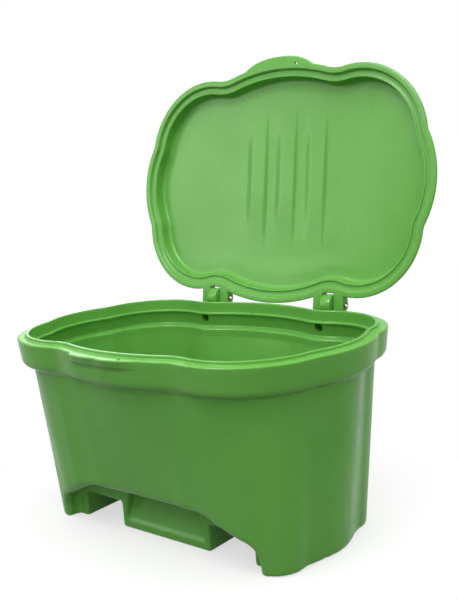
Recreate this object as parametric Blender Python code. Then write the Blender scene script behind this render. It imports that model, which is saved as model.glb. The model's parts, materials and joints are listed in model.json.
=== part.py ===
"""Grit bin with a hinged lid: a lobed tub on three runners, two hinges and a domed lid.

Metres, +Z up. The origin is on the ground under the middle of the tub, -Y is the front and
the hinges are at +Y. The lid stands open, resting on the stops of its hinge ears.
"""
import math

import bmesh
import bpy
from mathutils import Vector

# Plan of the rim: eight lobes that meet in valleys, alike left and right
FRONT_VALLEY_X = 0.189
FRONT_VALLEY_Y = 0.292
SIDE_VALLEY_X = 0.461
SIDE_VALLEY_Y = 0.120
BACK_VALLEY_X = 0.195
BACK_VALLEY_Y = 0.289
FRONT_BULGE = 0.034
FRONT_CORNER_BULGE = 0.074
SIDE_BULGE = 0.030
BACK_CORNER_BULGE = 0.083
BACK_BULGE = 0.042
VALLEY_RADIUS = 0.050

# Tub
WALL = 0.0055
RIM_HEIGHT = 0.498
RIM_EDGE = 0.005
BAND_HEIGHT = 0.066
BAND_DRAFT = 0.003
BAND_EDGE = 0.010
STEP_IN = 0.034
STEP_DROP = 0.010
WAIST_ROUND = 0.009
BASE_INSET = 0.082
BASE_FLATTEN = 0.038
FLATTEN_HALF = 0.300
FRONT_FOOT_SPREAD = 0.017
BACK_FOOT_SPREAD = 0.008
FOOT_CORNER_X = 0.430
FOOT_CORNER_Y = 0.195
FOOT_CORNER_REACH = 0.130
SOLE_ROUND = 0.010

# Upstand and trimmed lip inside the rim
UPSTAND_INSET = 0.0215
UPSTAND_WIDTH = 0.0085
UPSTAND_HEIGHT = 0.0115
UPSTAND_ROUND = 0.003
LIP_DROP = 0.0215
LIP_REACH = 0.0085
LIP_THICK = 0.005

# Front grip of the rim and of the lid
GRIP_HALF = 0.115
TUB_GRIP_RAMP = 0.018
LID_GRIP_RAMP = 0.034
TUB_GRIP_REACH = 0.013
TUB_GRIP_SCOOP = 0.014
TUB_GRIP_DEPTH = 0.026
LID_GRIP_REACH = 0.019
PADLOCK_X = 0.060
PADLOCK_HOLE = 0.009
PADLOCK_INSET = 0.002

# Recesses at front and back of the base, fork channels between them, and the leaning front panel
RECESS_FOOT_HALF = 0.318
RECESS_FOOT_RISE = 0.0625
RECESS_FOOT_ROUND = 0.016
RECESS_TOP_HALF = 0.187
RECESS_TOP_ROUND = 0.036
RECESS_HEIGHT = 0.126
RECESS_PLANE = 0.166
CHANNEL_INNER = 0.148
CHANNEL_OUTER = 0.281
CHANNEL_HEIGHT = 0.068
CHANNEL_ROUND = 0.008
PANEL_JAMB = 0.014
PANEL_SILL = 0.015
PANEL_TOP = 0.104
PANEL_LEAN = 0.040
PANEL_TAPER = 0.018

# Lid, closed: heights are above the underside of its flange
LID_GAP = 0.0008
LID_WALL = 0.0055
LID_FLANGE = 0.0145
LID_GROOVE_HEIGHT = 0.0145
LID_BEAD_GAP = 0.0045
LID_BEAD_WIDTH = 0.008
LID_BEAD_DROP = 0.004
LID_DEPTH = 0.0525
LID_WALL_LEAN = 0.0095
LID_DOME_ROUND = 0.020
RIB_PITCH = 0.095
RIB_WIDTH = 0.053
RIB_TOP_WIDTH = 0.036
RIB_DEPTH = 0.009
RIB_FRONT_Y = -0.155
RIB_BACK_Y = 0.175

# Hinges, in the two back valleys
OPEN_ANGLE = math.radians(100)
HINGE_REACH = 0.036
HINGE_RISE = 0.0125
TONGUE_WIDTH = 0.030
TONGUE_PLATE = 0.008
TONGUE_RADIUS = 0.0225
TONGUE_LENGTH = 0.066
EAR_WIDTH = 0.030
EAR_RADIUS = 0.0165
EAR_HEEL = 0.024
EAR_ROOT = 0.012
EAR_SIDE_GAP = 0.002
EAR_BACK_LOW = math.radians(11.5)
EAR_BACK_HIGH = math.radians(110)
KNUCKLE_BACK_LOW = math.radians(-40)
BOSS_MARGIN = 0.002
BOSS_TOP_DROP = 0.002

# Fasteners
CLEARANCE = 0.0003
PIN_RADIUS = 0.004
PIN_HEAD_RADIUS = 0.0065
PIN_HEAD = 0.003
PIN_TAIL = 0.003
RETAINER_RADIUS = 0.008
RETAINER_THICK = 0.002
BOLT_RADIUS = 0.004
BOLT_DROP = 0.037
BOLT_HEAD = 0.0053
BOLT_TAIL = 0.002
HEX_ACROSS_FLATS = 0.013
NUT_THICK = 0.0065
WASHER_THICK = 0.0016
OUTER_WASHER_RADIUS = 0.008
INNER_WASHER_RADIUS = 0.0105
SEAT_MARGIN = 0.002

# Facets; the middle ring of a round sits at this share of it
EASE = 0.3
FRONT_STEPS = 24
CORNER_STEPS = 6
SIDE_STEPS = 4
BACK_STEPS = 8
VALLEY_STEPS = 2
ROUND_STEPS = 24
CORNER_ROUND_STEPS = 4
KNUCKLE_STEPS = 12
RIB_STEPS = 6

# Values worked out from the ones above
BAND_BOTTOM = RIM_HEIGHT - BAND_HEIGHT
WAIST_INSET = BAND_DRAFT + STEP_IN
HINGE_Y = BACK_VALLEY_Y + HINGE_REACH
HINGE_Z = RIM_HEIGHT + HINGE_RISE
LID_BASE = RIM_HEIGHT + LID_GAP
HINGE_WIDTH = TONGUE_WIDTH + 2 * EAR_SIDE_GAP + 2 * EAR_WIDTH
EAR_DROP = HINGE_Z - LID_BASE
HEEL_OPEN_Y = HINGE_Y + EAR_HEEL * math.cos(OPEN_ANGLE) - EAR_DROP * math.sin(OPEN_ANGLE)
BOSS_FACE = HEEL_OPEN_Y - CLEARANCE
BOSS_TOP = RIM_HEIGHT - BOSS_TOP_DROP
BOLT_Z = RIM_HEIGHT - BOLT_DROP
SEAT_FACE = BOSS_FACE - WALL
SIDES = {"left": -1, "right": 1}
THROUGH = 1.0


def clear_scene():
    for old in list(bpy.data.objects):
        bpy.data.objects.remove(old, do_unlink=True)


def make_material(name, colour, roughness, metallic=0.0):
    material = bpy.data.materials.new(name)
    material.use_nodes = True
    shader = material.node_tree.nodes["Principled BSDF"]
    shader.inputs["Base Color"].default_value = (*colour, 1.0)
    shader.inputs["Roughness"].default_value = roughness
    shader.inputs["Metallic"].default_value = metallic
    return material


def angle_of(vector):
    return math.atan2(vector.y, vector.x)


def directions(start, end, steps):
    """Unit vectors from one angle to another, the short way round."""
    turn = (end - start + math.pi) % (2 * math.pi) - math.pi
    angles = [start + turn * i / steps for i in range(steps + 1)]
    return [Vector((math.cos(a), math.sin(a))) for a in angles]


def lobe_circle(start, end, bulge):
    """Centre and radius of the arc that bulges outwards between two valleys."""
    chord = end - start
    half = chord.length / 2
    radius = (half ** 2 + bulge ** 2) / (2 * bulge)
    outward = Vector((chord.y, -chord.x)).normalized()
    return (start + end) / 2 - outward * (radius - bulge), radius


def valley_centre(first, second, valley):
    """Centre of the round that eases the valley between two lobes, outside both."""
    reach_first = first[1] + VALLEY_RADIUS
    reach_second = second[1] + VALLEY_RADIUS
    span = second[0] - first[0]
    along = (span.length_squared + reach_first ** 2 - reach_second ** 2) / (2 * span.length)
    across = math.sqrt(reach_first ** 2 - along ** 2)
    forward = span.normalized()
    sideways = Vector((-forward.y, forward.x))
    middle = first[0] + forward * along
    choices = [middle + sideways * across, middle - sideways * across]
    return min(choices, key=lambda point: (point - valley).length)


def rim_outline():
    """Points and outward normals once round the rim, counter-clockwise from the front."""
    right = [
        Vector((FRONT_VALLEY_X, -FRONT_VALLEY_Y)),
        Vector((SIDE_VALLEY_X, -SIDE_VALLEY_Y)),
        Vector((SIDE_VALLEY_X, SIDE_VALLEY_Y)),
        Vector((BACK_VALLEY_X, BACK_VALLEY_Y)),
    ]
    left = [Vector((-valley.x, valley.y)) for valley in reversed(right)]
    valleys = right + left
    bulges = [FRONT_BULGE, FRONT_CORNER_BULGE, SIDE_BULGE, BACK_CORNER_BULGE, BACK_BULGE]
    bulges += bulges[3:0:-1]
    steps = [FRONT_STEPS, CORNER_STEPS, SIDE_STEPS, CORNER_STEPS, BACK_STEPS]
    steps += steps[3:0:-1]
    count = len(valleys)
    lobes = [lobe_circle(valleys[i - 1], valleys[i], bulges[i]) for i in range(count)]
    rounds = [valley_centre(lobes[i], lobes[(i + 1) % count], valleys[i]) for i in range(count)]
    outline = []
    for i, (centre, radius) in enumerate(lobes):
        start = angle_of(rounds[i - 1] - centre)
        end = angle_of(rounds[i] - centre)
        outline += [(centre + u * radius, u) for u in directions(start, end, steps[i])]
        hollow = rounds[i]
        start = angle_of(centre - hollow)
        end = angle_of(lobes[(i + 1) % count][0] - hollow)
        turn = directions(start, end, VALLEY_STEPS)[1:-1]
        outline += [(hollow + u * VALLEY_RADIUS, -u) for u in turn]
    return outline


OUTLINE = rim_outline()


def grip_share(point, ramp):
    """One in the middle of the front grip, easing to zero at its ends."""
    share = (GRIP_HALF - abs(point.x)) / ramp
    share = min(max(share, 0.0), 1.0) if point.y < 0 else 0.0
    return share * share * (3 - 2 * share)


def flat_share(point):
    """One on the middle of the front and back, easing to zero at their corners."""
    share = min(abs(point.x) / FLATTEN_HALF, 1.0)
    return math.cos(share * math.pi / 2) ** 2


def foot_spread(point):
    """How far the four feet stand out, easing to zero along the faces between them."""
    away = Vector((abs(point.x) - FOOT_CORNER_X, abs(point.y) - FOOT_CORNER_Y))
    share = max(1 - (away.length / FOOT_CORNER_REACH) ** 2, 0.0) ** 2
    return share * (FRONT_FOOT_SPREAD if point.y < 0 else BACK_FOOT_SPREAD)


def inner_ring(height, inset_at):
    """The rim's outline moved inwards by an inset that may differ from point to point."""
    places = [point - normal * inset_at(point) for point, normal in OUTLINE]
    return [Vector((place.x, place.y, height)) for place in places]


def ring(inset, height, grip=0.0, ramp=TUB_GRIP_RAMP):
    """A ring at one inset, moved by grip more at the front grip."""
    return inner_ring(height, lambda point: inset + grip * grip_share(point, ramp))


def base_ring(inset, height):
    """A ring near the ground, with a flatter front and back than the rim and wider feet."""

    def inset_at(point):
        return BASE_INSET + inset + BASE_FLATTEN * flat_share(point) - foot_spread(point)

    return inner_ring(height, inset_at)


def new_object(name, bm, material=None, smooth=False):
    bmesh.ops.recalc_face_normals(bm, faces=bm.faces)
    mesh = bpy.data.meshes.new(name)
    bm.to_mesh(mesh)
    bm.free()
    if smooth:
        mesh.shade_smooth()
        mesh.set_sharp_from_angle(angle=math.radians(35))
    thing = bpy.data.objects.new(name, mesh)
    bpy.context.scene.collection.objects.link(thing)
    if material:
        mesh.materials.append(material)
    return thing


def bridge(bm, rings):
    for low, high in zip(rings, rings[1:]):
        for i in range(len(low)):
            bm.faces.new((low[i - 1], low[i], high[i], high[i - 1]))


def loft(name, sections, material=None, smooth=False, about=None):
    """Skin over rings of points, closed at both ends; about moves the shape to that axis."""
    bm = bmesh.new()
    rings = [[bm.verts.new(point) for point in section] for section in sections]
    bridge(bm, rings)
    bm.faces.new(reversed(rings[0]))
    bm.faces.new(rings[-1])
    if about:
        bmesh.ops.translate(bm, verts=bm.verts, vec=-about)
    return new_object(name, bm, material, smooth)


def plate(name, outline, left, right, material=None, about=None):
    """A flat piece with its outline in Y and Z, between two places along X."""
    sides = [[Vector((x, y, z)) for y, z in outline] for x in (left, right)]
    return loft(name, sides, material, about=about)


def box(name, low, high):
    corners = [(low.y, low.z), (high.y, low.z), (high.y, high.z), (low.y, high.z)]
    return plate(name, corners, low.x, high.x)


def turned(name, profile, material=None, bored=False):
    """A turned piece along its own Z from (radius, height, hexagon) steps."""
    bm = bmesh.new()
    rings = []
    for radius, height, hexagon in profile:
        points = []
        for i in range(ROUND_STEPS):
            angle = 2 * math.pi * i / ROUND_STEPS
            off_flat = (angle % math.radians(60)) - math.radians(30)
            reach = radius / math.cos(off_flat) if hexagon else radius
            points.append(bm.verts.new((reach * math.cos(angle), reach * math.sin(angle), height)))
        rings.append(points)
    if bored:
        bridge(bm, rings + rings[:1])
    else:
        bridge(bm, rings)
        bm.faces.new(reversed(rings[0]))
        bm.faces.new(rings[-1])
    return new_object(name, bm, material, smooth=True)


def as_tool(thing):
    thing.hide_render = True
    thing.display_type = "WIRE"
    return thing


def combine(target, operation, tool):
    modifier = target.modifiers.new(f"{operation.lower()} {tool.name}", "BOOLEAN")
    modifier.operation = operation
    modifier.solver = "EXACT"
    modifier.object = as_tool(tool)


ALONG_X = (0.0, math.pi / 2, 0.0)
ALONG_Y = (-math.pi / 2, 0.0, 0.0)


def pin_bore(name, place):
    """A cutter for the pins along the whole hinge axis."""
    radius = PIN_RADIUS + CLEARANCE
    bore = turned(name, [(radius, -THROUGH, False), (radius, THROUGH, False)])
    bore.location = place
    bore.rotation_euler = ALONG_X
    return bore


def tub_sections():
    """Rings from the sole up the outside, over the rim and down the inside to the floor."""
    lip_out = UPSTAND_INSET + UPSTAND_WIDTH
    lip_top = RIM_HEIGHT - LIP_DROP
    lip_low = lip_top - LIP_THICK
    upstand_top = RIM_HEIGHT + UPSTAND_HEIGHT
    scoop_low = RIM_HEIGHT - TUB_GRIP_DEPTH
    scoop_top = RIM_HEIGHT - WALL - RIM_EDGE / 2
    step_low = BAND_BOTTOM - STEP_DROP
    return [
        base_ring(SOLE_ROUND, 0.0),
        base_ring(EASE * SOLE_ROUND, EASE * SOLE_ROUND),
        base_ring(0.0, SOLE_ROUND),
        ring(WAIST_INSET, step_low - WAIST_ROUND),
        ring(WAIST_INSET - EASE * WAIST_ROUND, step_low - EASE * WAIST_ROUND),
        ring(BAND_DRAFT + BAND_EDGE, BAND_BOTTOM - STEP_DROP * EASE),
        ring(BAND_DRAFT + EASE * BAND_EDGE, BAND_BOTTOM + EASE * BAND_EDGE),
        ring(BAND_DRAFT, BAND_BOTTOM + BAND_EDGE),
        ring(BAND_DRAFT * 0.5, scoop_low, TUB_GRIP_SCOOP * 0.5),
        ring(0.0, scoop_top, TUB_GRIP_SCOOP),
        ring(0.0, RIM_HEIGHT - RIM_EDGE, -TUB_GRIP_REACH),
        ring(EASE * RIM_EDGE, RIM_HEIGHT - EASE * RIM_EDGE, -TUB_GRIP_REACH),
        ring(RIM_EDGE, RIM_HEIGHT, -TUB_GRIP_REACH),
        ring(UPSTAND_INSET, RIM_HEIGHT),
        ring(UPSTAND_INSET, upstand_top - UPSTAND_ROUND),
        ring(UPSTAND_INSET + UPSTAND_ROUND, upstand_top),
        ring(lip_out - UPSTAND_ROUND, upstand_top),
        ring(lip_out, upstand_top - UPSTAND_ROUND),
        ring(lip_out, lip_top),
        ring(lip_out + LIP_REACH, lip_top),
        ring(lip_out + LIP_REACH, lip_low),
        ring(lip_out - WALL, lip_low),
        ring(lip_out - WALL, RIM_HEIGHT - WALL),
        ring(WALL, RIM_HEIGHT - WALL, TUB_GRIP_SCOOP - EASE * WALL),
        ring(BAND_DRAFT * 0.5 + WALL, scoop_low, TUB_GRIP_SCOOP * 0.5),
        ring(BAND_DRAFT + WALL, BAND_BOTTOM + BAND_EDGE),
        ring(BAND_DRAFT + BAND_EDGE, BAND_BOTTOM + WALL),
        ring(WAIST_INSET + EASE * WALL, step_low + EASE * WALL),
        ring(WAIST_INSET + WALL, step_low - WAIST_ROUND),
        base_ring(WALL, SOLE_ROUND),
        base_ring(SOLE_ROUND, WALL),
    ]


def through_prism(name, outline, front, back):
    """An outline in X and Z, run from one place along Y to another."""
    return loft(name, [[Vector((x, y, z)) for x, z in outline] for y in (back, front)])


def eased(corners):
    """An open outline from (x, z, cut) corners, each eased by a curve that starts cut away."""
    outline = []
    for i, (x, z, cut) in enumerate(corners):
        corner = Vector((x, z))
        if not cut:
            outline.append(corner)
            continue
        before = Vector(corners[i - 1][:2]) - corner
        after = Vector(corners[i + 1][:2]) - corner
        start = corner + before.normalized() * cut
        end = corner + after.normalized() * cut
        for step in range(CORNER_ROUND_STEPS + 1):
            t = step / CORNER_ROUND_STEPS
            outline.append(start * (1 - t) ** 2 + corner * (2 * t * (1 - t)) + end * t ** 2)
    return [(point.x, point.y) for point in outline]


def arch_recess(name, sign, grow):
    """The arched recess in the front or back face, grown by a wall for its lining."""
    foot_half = RECESS_FOOT_HALF + grow
    height = RECESS_HEIGHT + grow
    side = [
        (foot_half, -RECESS_HEIGHT, 0.0),
        (foot_half, RECESS_FOOT_RISE + grow / 2, RECESS_FOOT_ROUND),
        (RECESS_TOP_HALF + grow / 2, height, RECESS_TOP_ROUND),
        (0.0, height, 0.0),
    ]
    right = eased(side)
    left = [(-x, z) for x, z in reversed(right[:-1])]
    faces = sorted((sign * (RECESS_PLANE - grow), sign * THROUGH))
    return through_prism(name, right + left, *faces)


def fork_channel(name, sign, grow):
    """One fork channel from front to back, with rounded upper corners."""
    inner = sign * (CHANNEL_INNER - grow)
    outer = sign * (CHANNEL_OUTER + grow)
    top = CHANNEL_HEIGHT + grow
    low = -2 * RECESS_HEIGHT
    corners = [
        (outer, low, 0.0),
        (outer, top, CHANNEL_ROUND),
        (inner, top, CHANNEL_ROUND),
        (inner, low, 0.0),
    ]
    reach = THROUGH + RECESS_PLANE
    return through_prism(name, eased(corners), -reach, reach)


def panel_recess(name, grow):
    """The panel between the channels: flush at its sill and leaning back towards its top."""
    half = (CHANNEL_INNER - PANEL_JAMB) + grow
    sill_y = -RECESS_PLANE + grow
    front = -2 * RECESS_PLANE
    sill_z = PANEL_SILL - grow
    top_z = PANEL_TOP + grow
    levels = [(sill_z, half, sill_y), (top_z, half - PANEL_TAPER, sill_y + PANEL_LEAN)]
    sections = []
    for z, reach, back in levels:
        corners = [(-reach, front), (reach, front), (reach, back), (-reach, back)]
        sections.append([Vector((x, y, z)) for x, y in corners])
    return loft(name, sections)


def base_hollows(prefix, grow):
    """Everything that is hollowed out of the base from below, grown by a wall for the lining."""
    hollows = [panel_recess(f"{prefix}_panel", grow)]
    for face, sign in (("front", -1), ("back", 1)):
        hollows.append(arch_recess(f"{prefix}_{face}_recess", sign, grow))
    for side, sign in SIDES.items():
        hollows.append(fork_channel(f"{prefix}_channel_{side}", sign, grow))
    return hollows


def base_lining():
    """The walls round the hollows of the base, reaching half way into the tub's own wall."""
    lining, *others = base_hollows("lining", WALL)
    for other in others:
        combine(lining, "UNION", other)
    half = WALL / 2
    core = loft(
        "lining_core",
        [
            base_ring(SOLE_ROUND, half),
            base_ring(half, SOLE_ROUND),
            ring(WAIST_INSET + half, BAND_BOTTOM - STEP_DROP - WAIST_ROUND),
        ],
    )
    combine(lining, "INTERSECT", core)
    return lining


def hinge_boss(side, sign):
    """A flat-faced block that fills the back valley, trimmed to the middle of the band's wall."""
    half = HINGE_WIDTH / 2 + BOSS_MARGIN
    boss = box(
        f"hinge_boss_{side}",
        Vector((sign * BACK_VALLEY_X - half, BACK_VALLEY_Y - half, BAND_BOTTOM + BAND_EDGE)),
        Vector((sign * BACK_VALLEY_X + half, BOSS_FACE, BOSS_TOP)),
    )
    middle = (BAND_DRAFT + WALL) / 2
    core = loft(f"boss_core_{side}", [ring(middle, 0.0), ring(middle, 2 * RIM_HEIGHT)])
    combine(boss, "DIFFERENCE", core)
    return boss


def washer_pocket(side, sign):
    """A round pocket from inside the band, which leaves one wall of the boss for the bolt."""
    radius = INNER_WASHER_RADIUS + SEAT_MARGIN
    start = BACK_VALLEY_Y - 2 * WALL - SEAT_MARGIN
    length = SEAT_FACE - start
    pocket = turned(f"washer_pocket_{side}", [(radius, 0.0, False), (radius, length, False)])
    pocket.location = (sign * BACK_VALLEY_X, start, BOLT_Z)
    pocket.rotation_euler = ALONG_Y
    return pocket


def bolt_hole(name, sign):
    """A cutter for the bolt, from the pocket out past the tongue."""
    radius = BOLT_RADIUS + CLEARANCE
    reach = WALL + TONGUE_PLATE
    hole = turned(name, [(radius, -reach, False), (radius, reach, False)])
    hole.location = (sign * BACK_VALLEY_X, BOSS_FACE, BOLT_Z)
    hole.rotation_euler = ALONG_Y
    return hole


def build_tub(material):
    tub = loft("tub", tub_sections(), material, smooth=True)
    combine(tub, "UNION", base_lining())
    for side, sign in SIDES.items():
        combine(tub, "UNION", hinge_boss(side, sign))
    for hollow in base_hollows("base", 0.0):
        combine(tub, "DIFFERENCE", hollow)
    for side, sign in SIDES.items():
        combine(tub, "DIFFERENCE", washer_pocket(side, sign))
        combine(tub, "DIFFERENCE", bolt_hole(f"tub_bolt_hole_{side}", sign))
    combine(tub, "DIFFERENCE", padlock_cutter("tub_padlock_hole", Vector((0, 0, 0))))
    return tub


def padlock_cutter(name, about):
    """A short cutter through the rim's flange or the lid's grip, beside the middle."""
    front = min(OUTLINE, key=lambda pair: abs(pair[0].x - PADLOCK_X) + pair[0].y)
    half = BAND_HEIGHT / 4
    place = Vector((PADLOCK_X, front[0].y + PADLOCK_INSET, RIM_HEIGHT)) - about
    radius = PADLOCK_HOLE / 2
    cutter = turned(name, [(radius, -half, False), (radius, half, False)])
    cutter.location = place
    return cutter


def lid_sections():
    """Rings of the closed lid from its inner panel out to the flange and over the dome."""
    bead_out = UPSTAND_INSET + UPSTAND_WIDTH + LID_BEAD_GAP
    bead_in = bead_out + LID_BEAD_WIDTH
    soft = LID_BEAD_WIDTH / 4
    edge = LID_WALL / 3
    dome_in = bead_in + LID_WALL_LEAN
    panel_in = dome_in + LID_DOME_ROUND
    spring = LID_DEPTH - LID_DOME_ROUND * 0.6
    shoulder = LID_GROOVE_HEIGHT + LID_WALL

    def at(inset, height, grip=0.0):
        return ring(inset, LID_BASE + height, grip, LID_GRIP_RAMP)

    return [
        at(panel_in, LID_DEPTH),
        at(dome_in + EASE * LID_DOME_ROUND, LID_DEPTH - EASE * EASE * LID_DOME_ROUND * 2),
        at(dome_in, spring),
        at(bead_in, LID_BEAD_DROP),
        at(bead_in, -LID_BEAD_DROP + soft),
        at(bead_in - soft, -LID_BEAD_DROP),
        at(bead_out + soft, -LID_BEAD_DROP),
        at(bead_out, -LID_BEAD_DROP + soft),
        at(bead_out, LID_GROOVE_HEIGHT),
        at(LID_FLANGE + soft, LID_GROOVE_HEIGHT),
        at(LID_FLANGE, 0.0),
        at(edge, 0.0, -LID_GRIP_REACH),
        at(0.0, edge, -LID_GRIP_REACH),
        at(0.0, LID_WALL - edge, -LID_GRIP_REACH),
        at(edge, LID_WALL, -LID_GRIP_REACH),
        at(LID_FLANGE - LID_WALL, LID_WALL),
        at(LID_FLANGE - LID_WALL + soft, shoulder - soft),
        at(LID_FLANGE, shoulder),
        at(bead_out, shoulder + soft / 2),
        at(bead_in - LID_WALL + soft, shoulder + LID_WALL),
        at(dome_in - LID_WALL, spring + LID_WALL * EASE),
        at(dome_in + EASE * LID_DOME_ROUND - LID_WALL * EASE, LID_DEPTH + LID_WALL * 0.7),
        at(panel_in, LID_DEPTH + LID_WALL),
    ]


def rib_bars(name, about, low_width, high_width, base, rise):
    """Three boat-shaped bars across the panel, deepest half way along."""
    bm = bmesh.new()
    for place in (-RIB_PITCH, 0.0, RIB_PITCH):
        rings = []
        for i in range(RIB_STEPS + 1):
            t = i / RIB_STEPS
            y = RIB_FRONT_Y + (RIB_BACK_Y - RIB_FRONT_Y) * t
            depth = RIB_DEPTH * 4 * t * (1 - t) - LID_WALL / 5
            corners = [
                (place - low_width / 2, base - depth),
                (place + low_width / 2, base - depth),
                (place + high_width / 2, base + rise),
                (place - high_width / 2, base + rise),
            ]
            rings.append([bm.verts.new(Vector((x, y, z)) - about) for x, z in corners])
        bridge(bm, rings)
        bm.faces.new(reversed(rings[0]))
        bm.faces.new(rings[-1])
    return new_object(name, bm)


def ear_outline():
    """Side view of a hinge ear, closed, about the hinge axis: root, heel stop and round back."""
    top = EAR_RADIUS
    root = HINGE_REACH + EAR_ROOT
    outline = [(-root, -EAR_DROP), (EAR_HEEL, -EAR_DROP), (EAR_HEEL, -EAR_DROP / 2)]
    for u in directions(EAR_BACK_LOW, EAR_BACK_HIGH, KNUCKLE_STEPS):
        outline.append((u.x * top, u.y * top))
    outline.append((-root, LID_GROOVE_HEIGHT + LID_WALL - EAR_DROP))
    return outline


def lid_ear(name, centre, about):
    """A hinge ear, trimmed so that it stays out of the lid's groove."""
    half = EAR_WIDTH / 2
    ear = plate(name, ear_outline(), centre - half, centre + half)
    middle = LID_FLANGE - LID_WALL / 2
    plug_top = LID_BASE + LID_GROOVE_HEIGHT + LID_WALL / 2
    plug = loft(f"{name}_plug", [ring(middle, 0.0), ring(middle, plug_top)], about=about)
    combine(ear, "DIFFERENCE", plug)
    return ear, plug


def build_lid(material, axis, hinge):
    lid = loft("lid", lid_sections(), material, smooth=True, about=axis)
    lid.parent = hinge
    tools = []
    panel = LID_BASE + LID_DEPTH
    flank = LID_WALL
    ribs = rib_bars("lid_ribs", axis, RIB_TOP_WIDTH, RIB_WIDTH, panel, LID_WALL / 2)
    flutes = rib_bars(
        "lid_flutes",
        axis,
        RIB_TOP_WIDTH - 2 * flank,
        RIB_WIDTH - flank,
        panel + LID_WALL,
        LID_WALL,
    )
    combine(lid, "UNION", ribs)
    combine(lid, "DIFFERENCE", flutes)
    tools += [ribs, flutes]
    offset = (TONGUE_WIDTH + EAR_WIDTH) / 2 + EAR_SIDE_GAP
    for side, sign in SIDES.items():
        for end, step in SIDES.items():
            centre = sign * BACK_VALLEY_X + step * offset
            ear, plug = lid_ear(f"lid_ear_{side}_{end}", centre, axis)
            combine(lid, "UNION", ear)
            tools += [ear, plug]
    bore = pin_bore("ear_bore", Vector((0, 0, 0)))
    combine(lid, "DIFFERENCE", bore)
    hole = padlock_cutter("lid_padlock_hole", axis)
    combine(lid, "DIFFERENCE", hole)
    for tool in tools + [bore, hole]:
        tool.parent = hinge
    return lid


def tongue_outline():
    """Side view of a tongue about the hinge axis: a plate, and a knuckle that sits on the boss."""
    front = BOSS_FACE + CLEARANCE - HINGE_Y
    back = front + TONGUE_PLATE
    low = RIM_HEIGHT - TONGUE_LENGTH + LIP_THICK - HINGE_Z
    waist = BOLT_Z + OUTER_WASHER_RADIUS + SEAT_MARGIN - HINGE_Z
    ledge = BOSS_TOP + CLEARANCE - HINGE_Z
    meet = math.pi - math.asin(ledge / TONGUE_RADIUS)
    outline = [(back, low), (front, low), (front, ledge)]
    span = meet - KNUCKLE_BACK_LOW
    for i in range(KNUCKLE_STEPS + 1):
        angle = meet - span * i / KNUCKLE_STEPS
        outline.append((TONGUE_RADIUS * math.cos(angle), TONGUE_RADIUS * math.sin(angle)))
    outline.append((back, waist))
    return outline


def build_tongue(side, sign, material, axis):
    centre = sign * BACK_VALLEY_X
    half = TONGUE_WIDTH / 2
    tongue = plate(f"hinge_tongue_{side}", tongue_outline(), centre - half, centre + half, material)
    tongue.location = axis
    combine(tongue, "DIFFERENCE", pin_bore(f"tongue_bore_{side}", axis))
    combine(tongue, "DIFFERENCE", bolt_hole(f"tongue_bolt_hole_{side}", sign))


def build_pin(side, sign, steel, black, hinge):
    """Headed pin through both ears and the tongue, held by a push-on retainer."""
    length = HINGE_WIDTH + 2 * CLEARANCE
    tail = length + RETAINER_THICK + PIN_TAIL
    chamfer = PIN_RADIUS / 4
    pin = turned(
        f"hinge_pin_{side}",
        [
            (PIN_HEAD_RADIUS - chamfer, -PIN_HEAD, False),
            (PIN_HEAD_RADIUS, chamfer - PIN_HEAD, False),
            (PIN_HEAD_RADIUS, 0.0, False),
            (PIN_RADIUS, 0.0, False),
            (PIN_RADIUS, tail - chamfer, False),
            (PIN_RADIUS - chamfer, tail, False),
        ],
        steel,
    )
    bore = PIN_RADIUS + CLEARANCE
    retainer = turned(
        f"pin_retainer_{side}",
        [
            (bore, 0.0, False),
            (RETAINER_RADIUS, 0.0, False),
            (RETAINER_RADIUS, RETAINER_THICK / 2, False),
            (bore, RETAINER_THICK, False),
        ],
        black,
        bored=True,
    )
    start = sign * BACK_VALLEY_X - HINGE_WIDTH / 2 - CLEARANCE
    for piece, x in ((pin, start), (retainer, start + length)):
        piece.parent = hinge
        piece.location = (x, 0.0, 0.0)
        piece.rotation_euler = ALONG_X


def build_bolt(side, sign, steel, black):
    """Bolt through the tongue, the boss and the band, with its washers and nut."""
    x = sign * BACK_VALLEY_X
    bore = BOLT_RADIUS + CLEARANCE
    half_hex = HEX_ACROSS_FLATS / 2
    plate_back = BOSS_FACE + CLEARANCE + TONGUE_PLATE
    outer_washer = plate_back + CLEARANCE
    head = outer_washer + WASHER_THICK + CLEARANCE
    inner_washer = SEAT_FACE - CLEARANCE - WASHER_THICK
    nut = inner_washer - CLEARANCE - NUT_THICK
    shank_end = nut - BOLT_TAIL

    def ring_piece(name, radius, thick, hexagon, y, material):
        piece = turned(
            name,
            [
                (bore, 0.0, False),
                (radius, 0.0, hexagon),
                (radius, thick, hexagon),
                (bore, thick, False),
            ],
            material,
            bored=True,
        )
        piece.location = (x, y, BOLT_Z)
        piece.rotation_euler = ALONG_Y

    ring_piece(f"outer_washer_{side}", OUTER_WASHER_RADIUS, WASHER_THICK, False, outer_washer, steel)
    ring_piece(f"inner_washer_{side}", INNER_WASHER_RADIUS, WASHER_THICK, False, inner_washer, black)
    ring_piece(f"tongue_nut_{side}", half_hex, NUT_THICK, True, nut, black)
    length = head - shank_end
    bolt = turned(
        f"tongue_bolt_{side}",
        [
            (BOLT_RADIUS * 0.8, 0.0, False),
            (BOLT_RADIUS, BOLT_RADIUS * 0.2, False),
            (BOLT_RADIUS, length, False),
            (half_hex, length, True),
            (half_hex, length + BOLT_HEAD, True),
        ],
        steel,
    )
    bolt.location = (x, shank_end, BOLT_Z)
    bolt.rotation_euler = ALONG_Y


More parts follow.
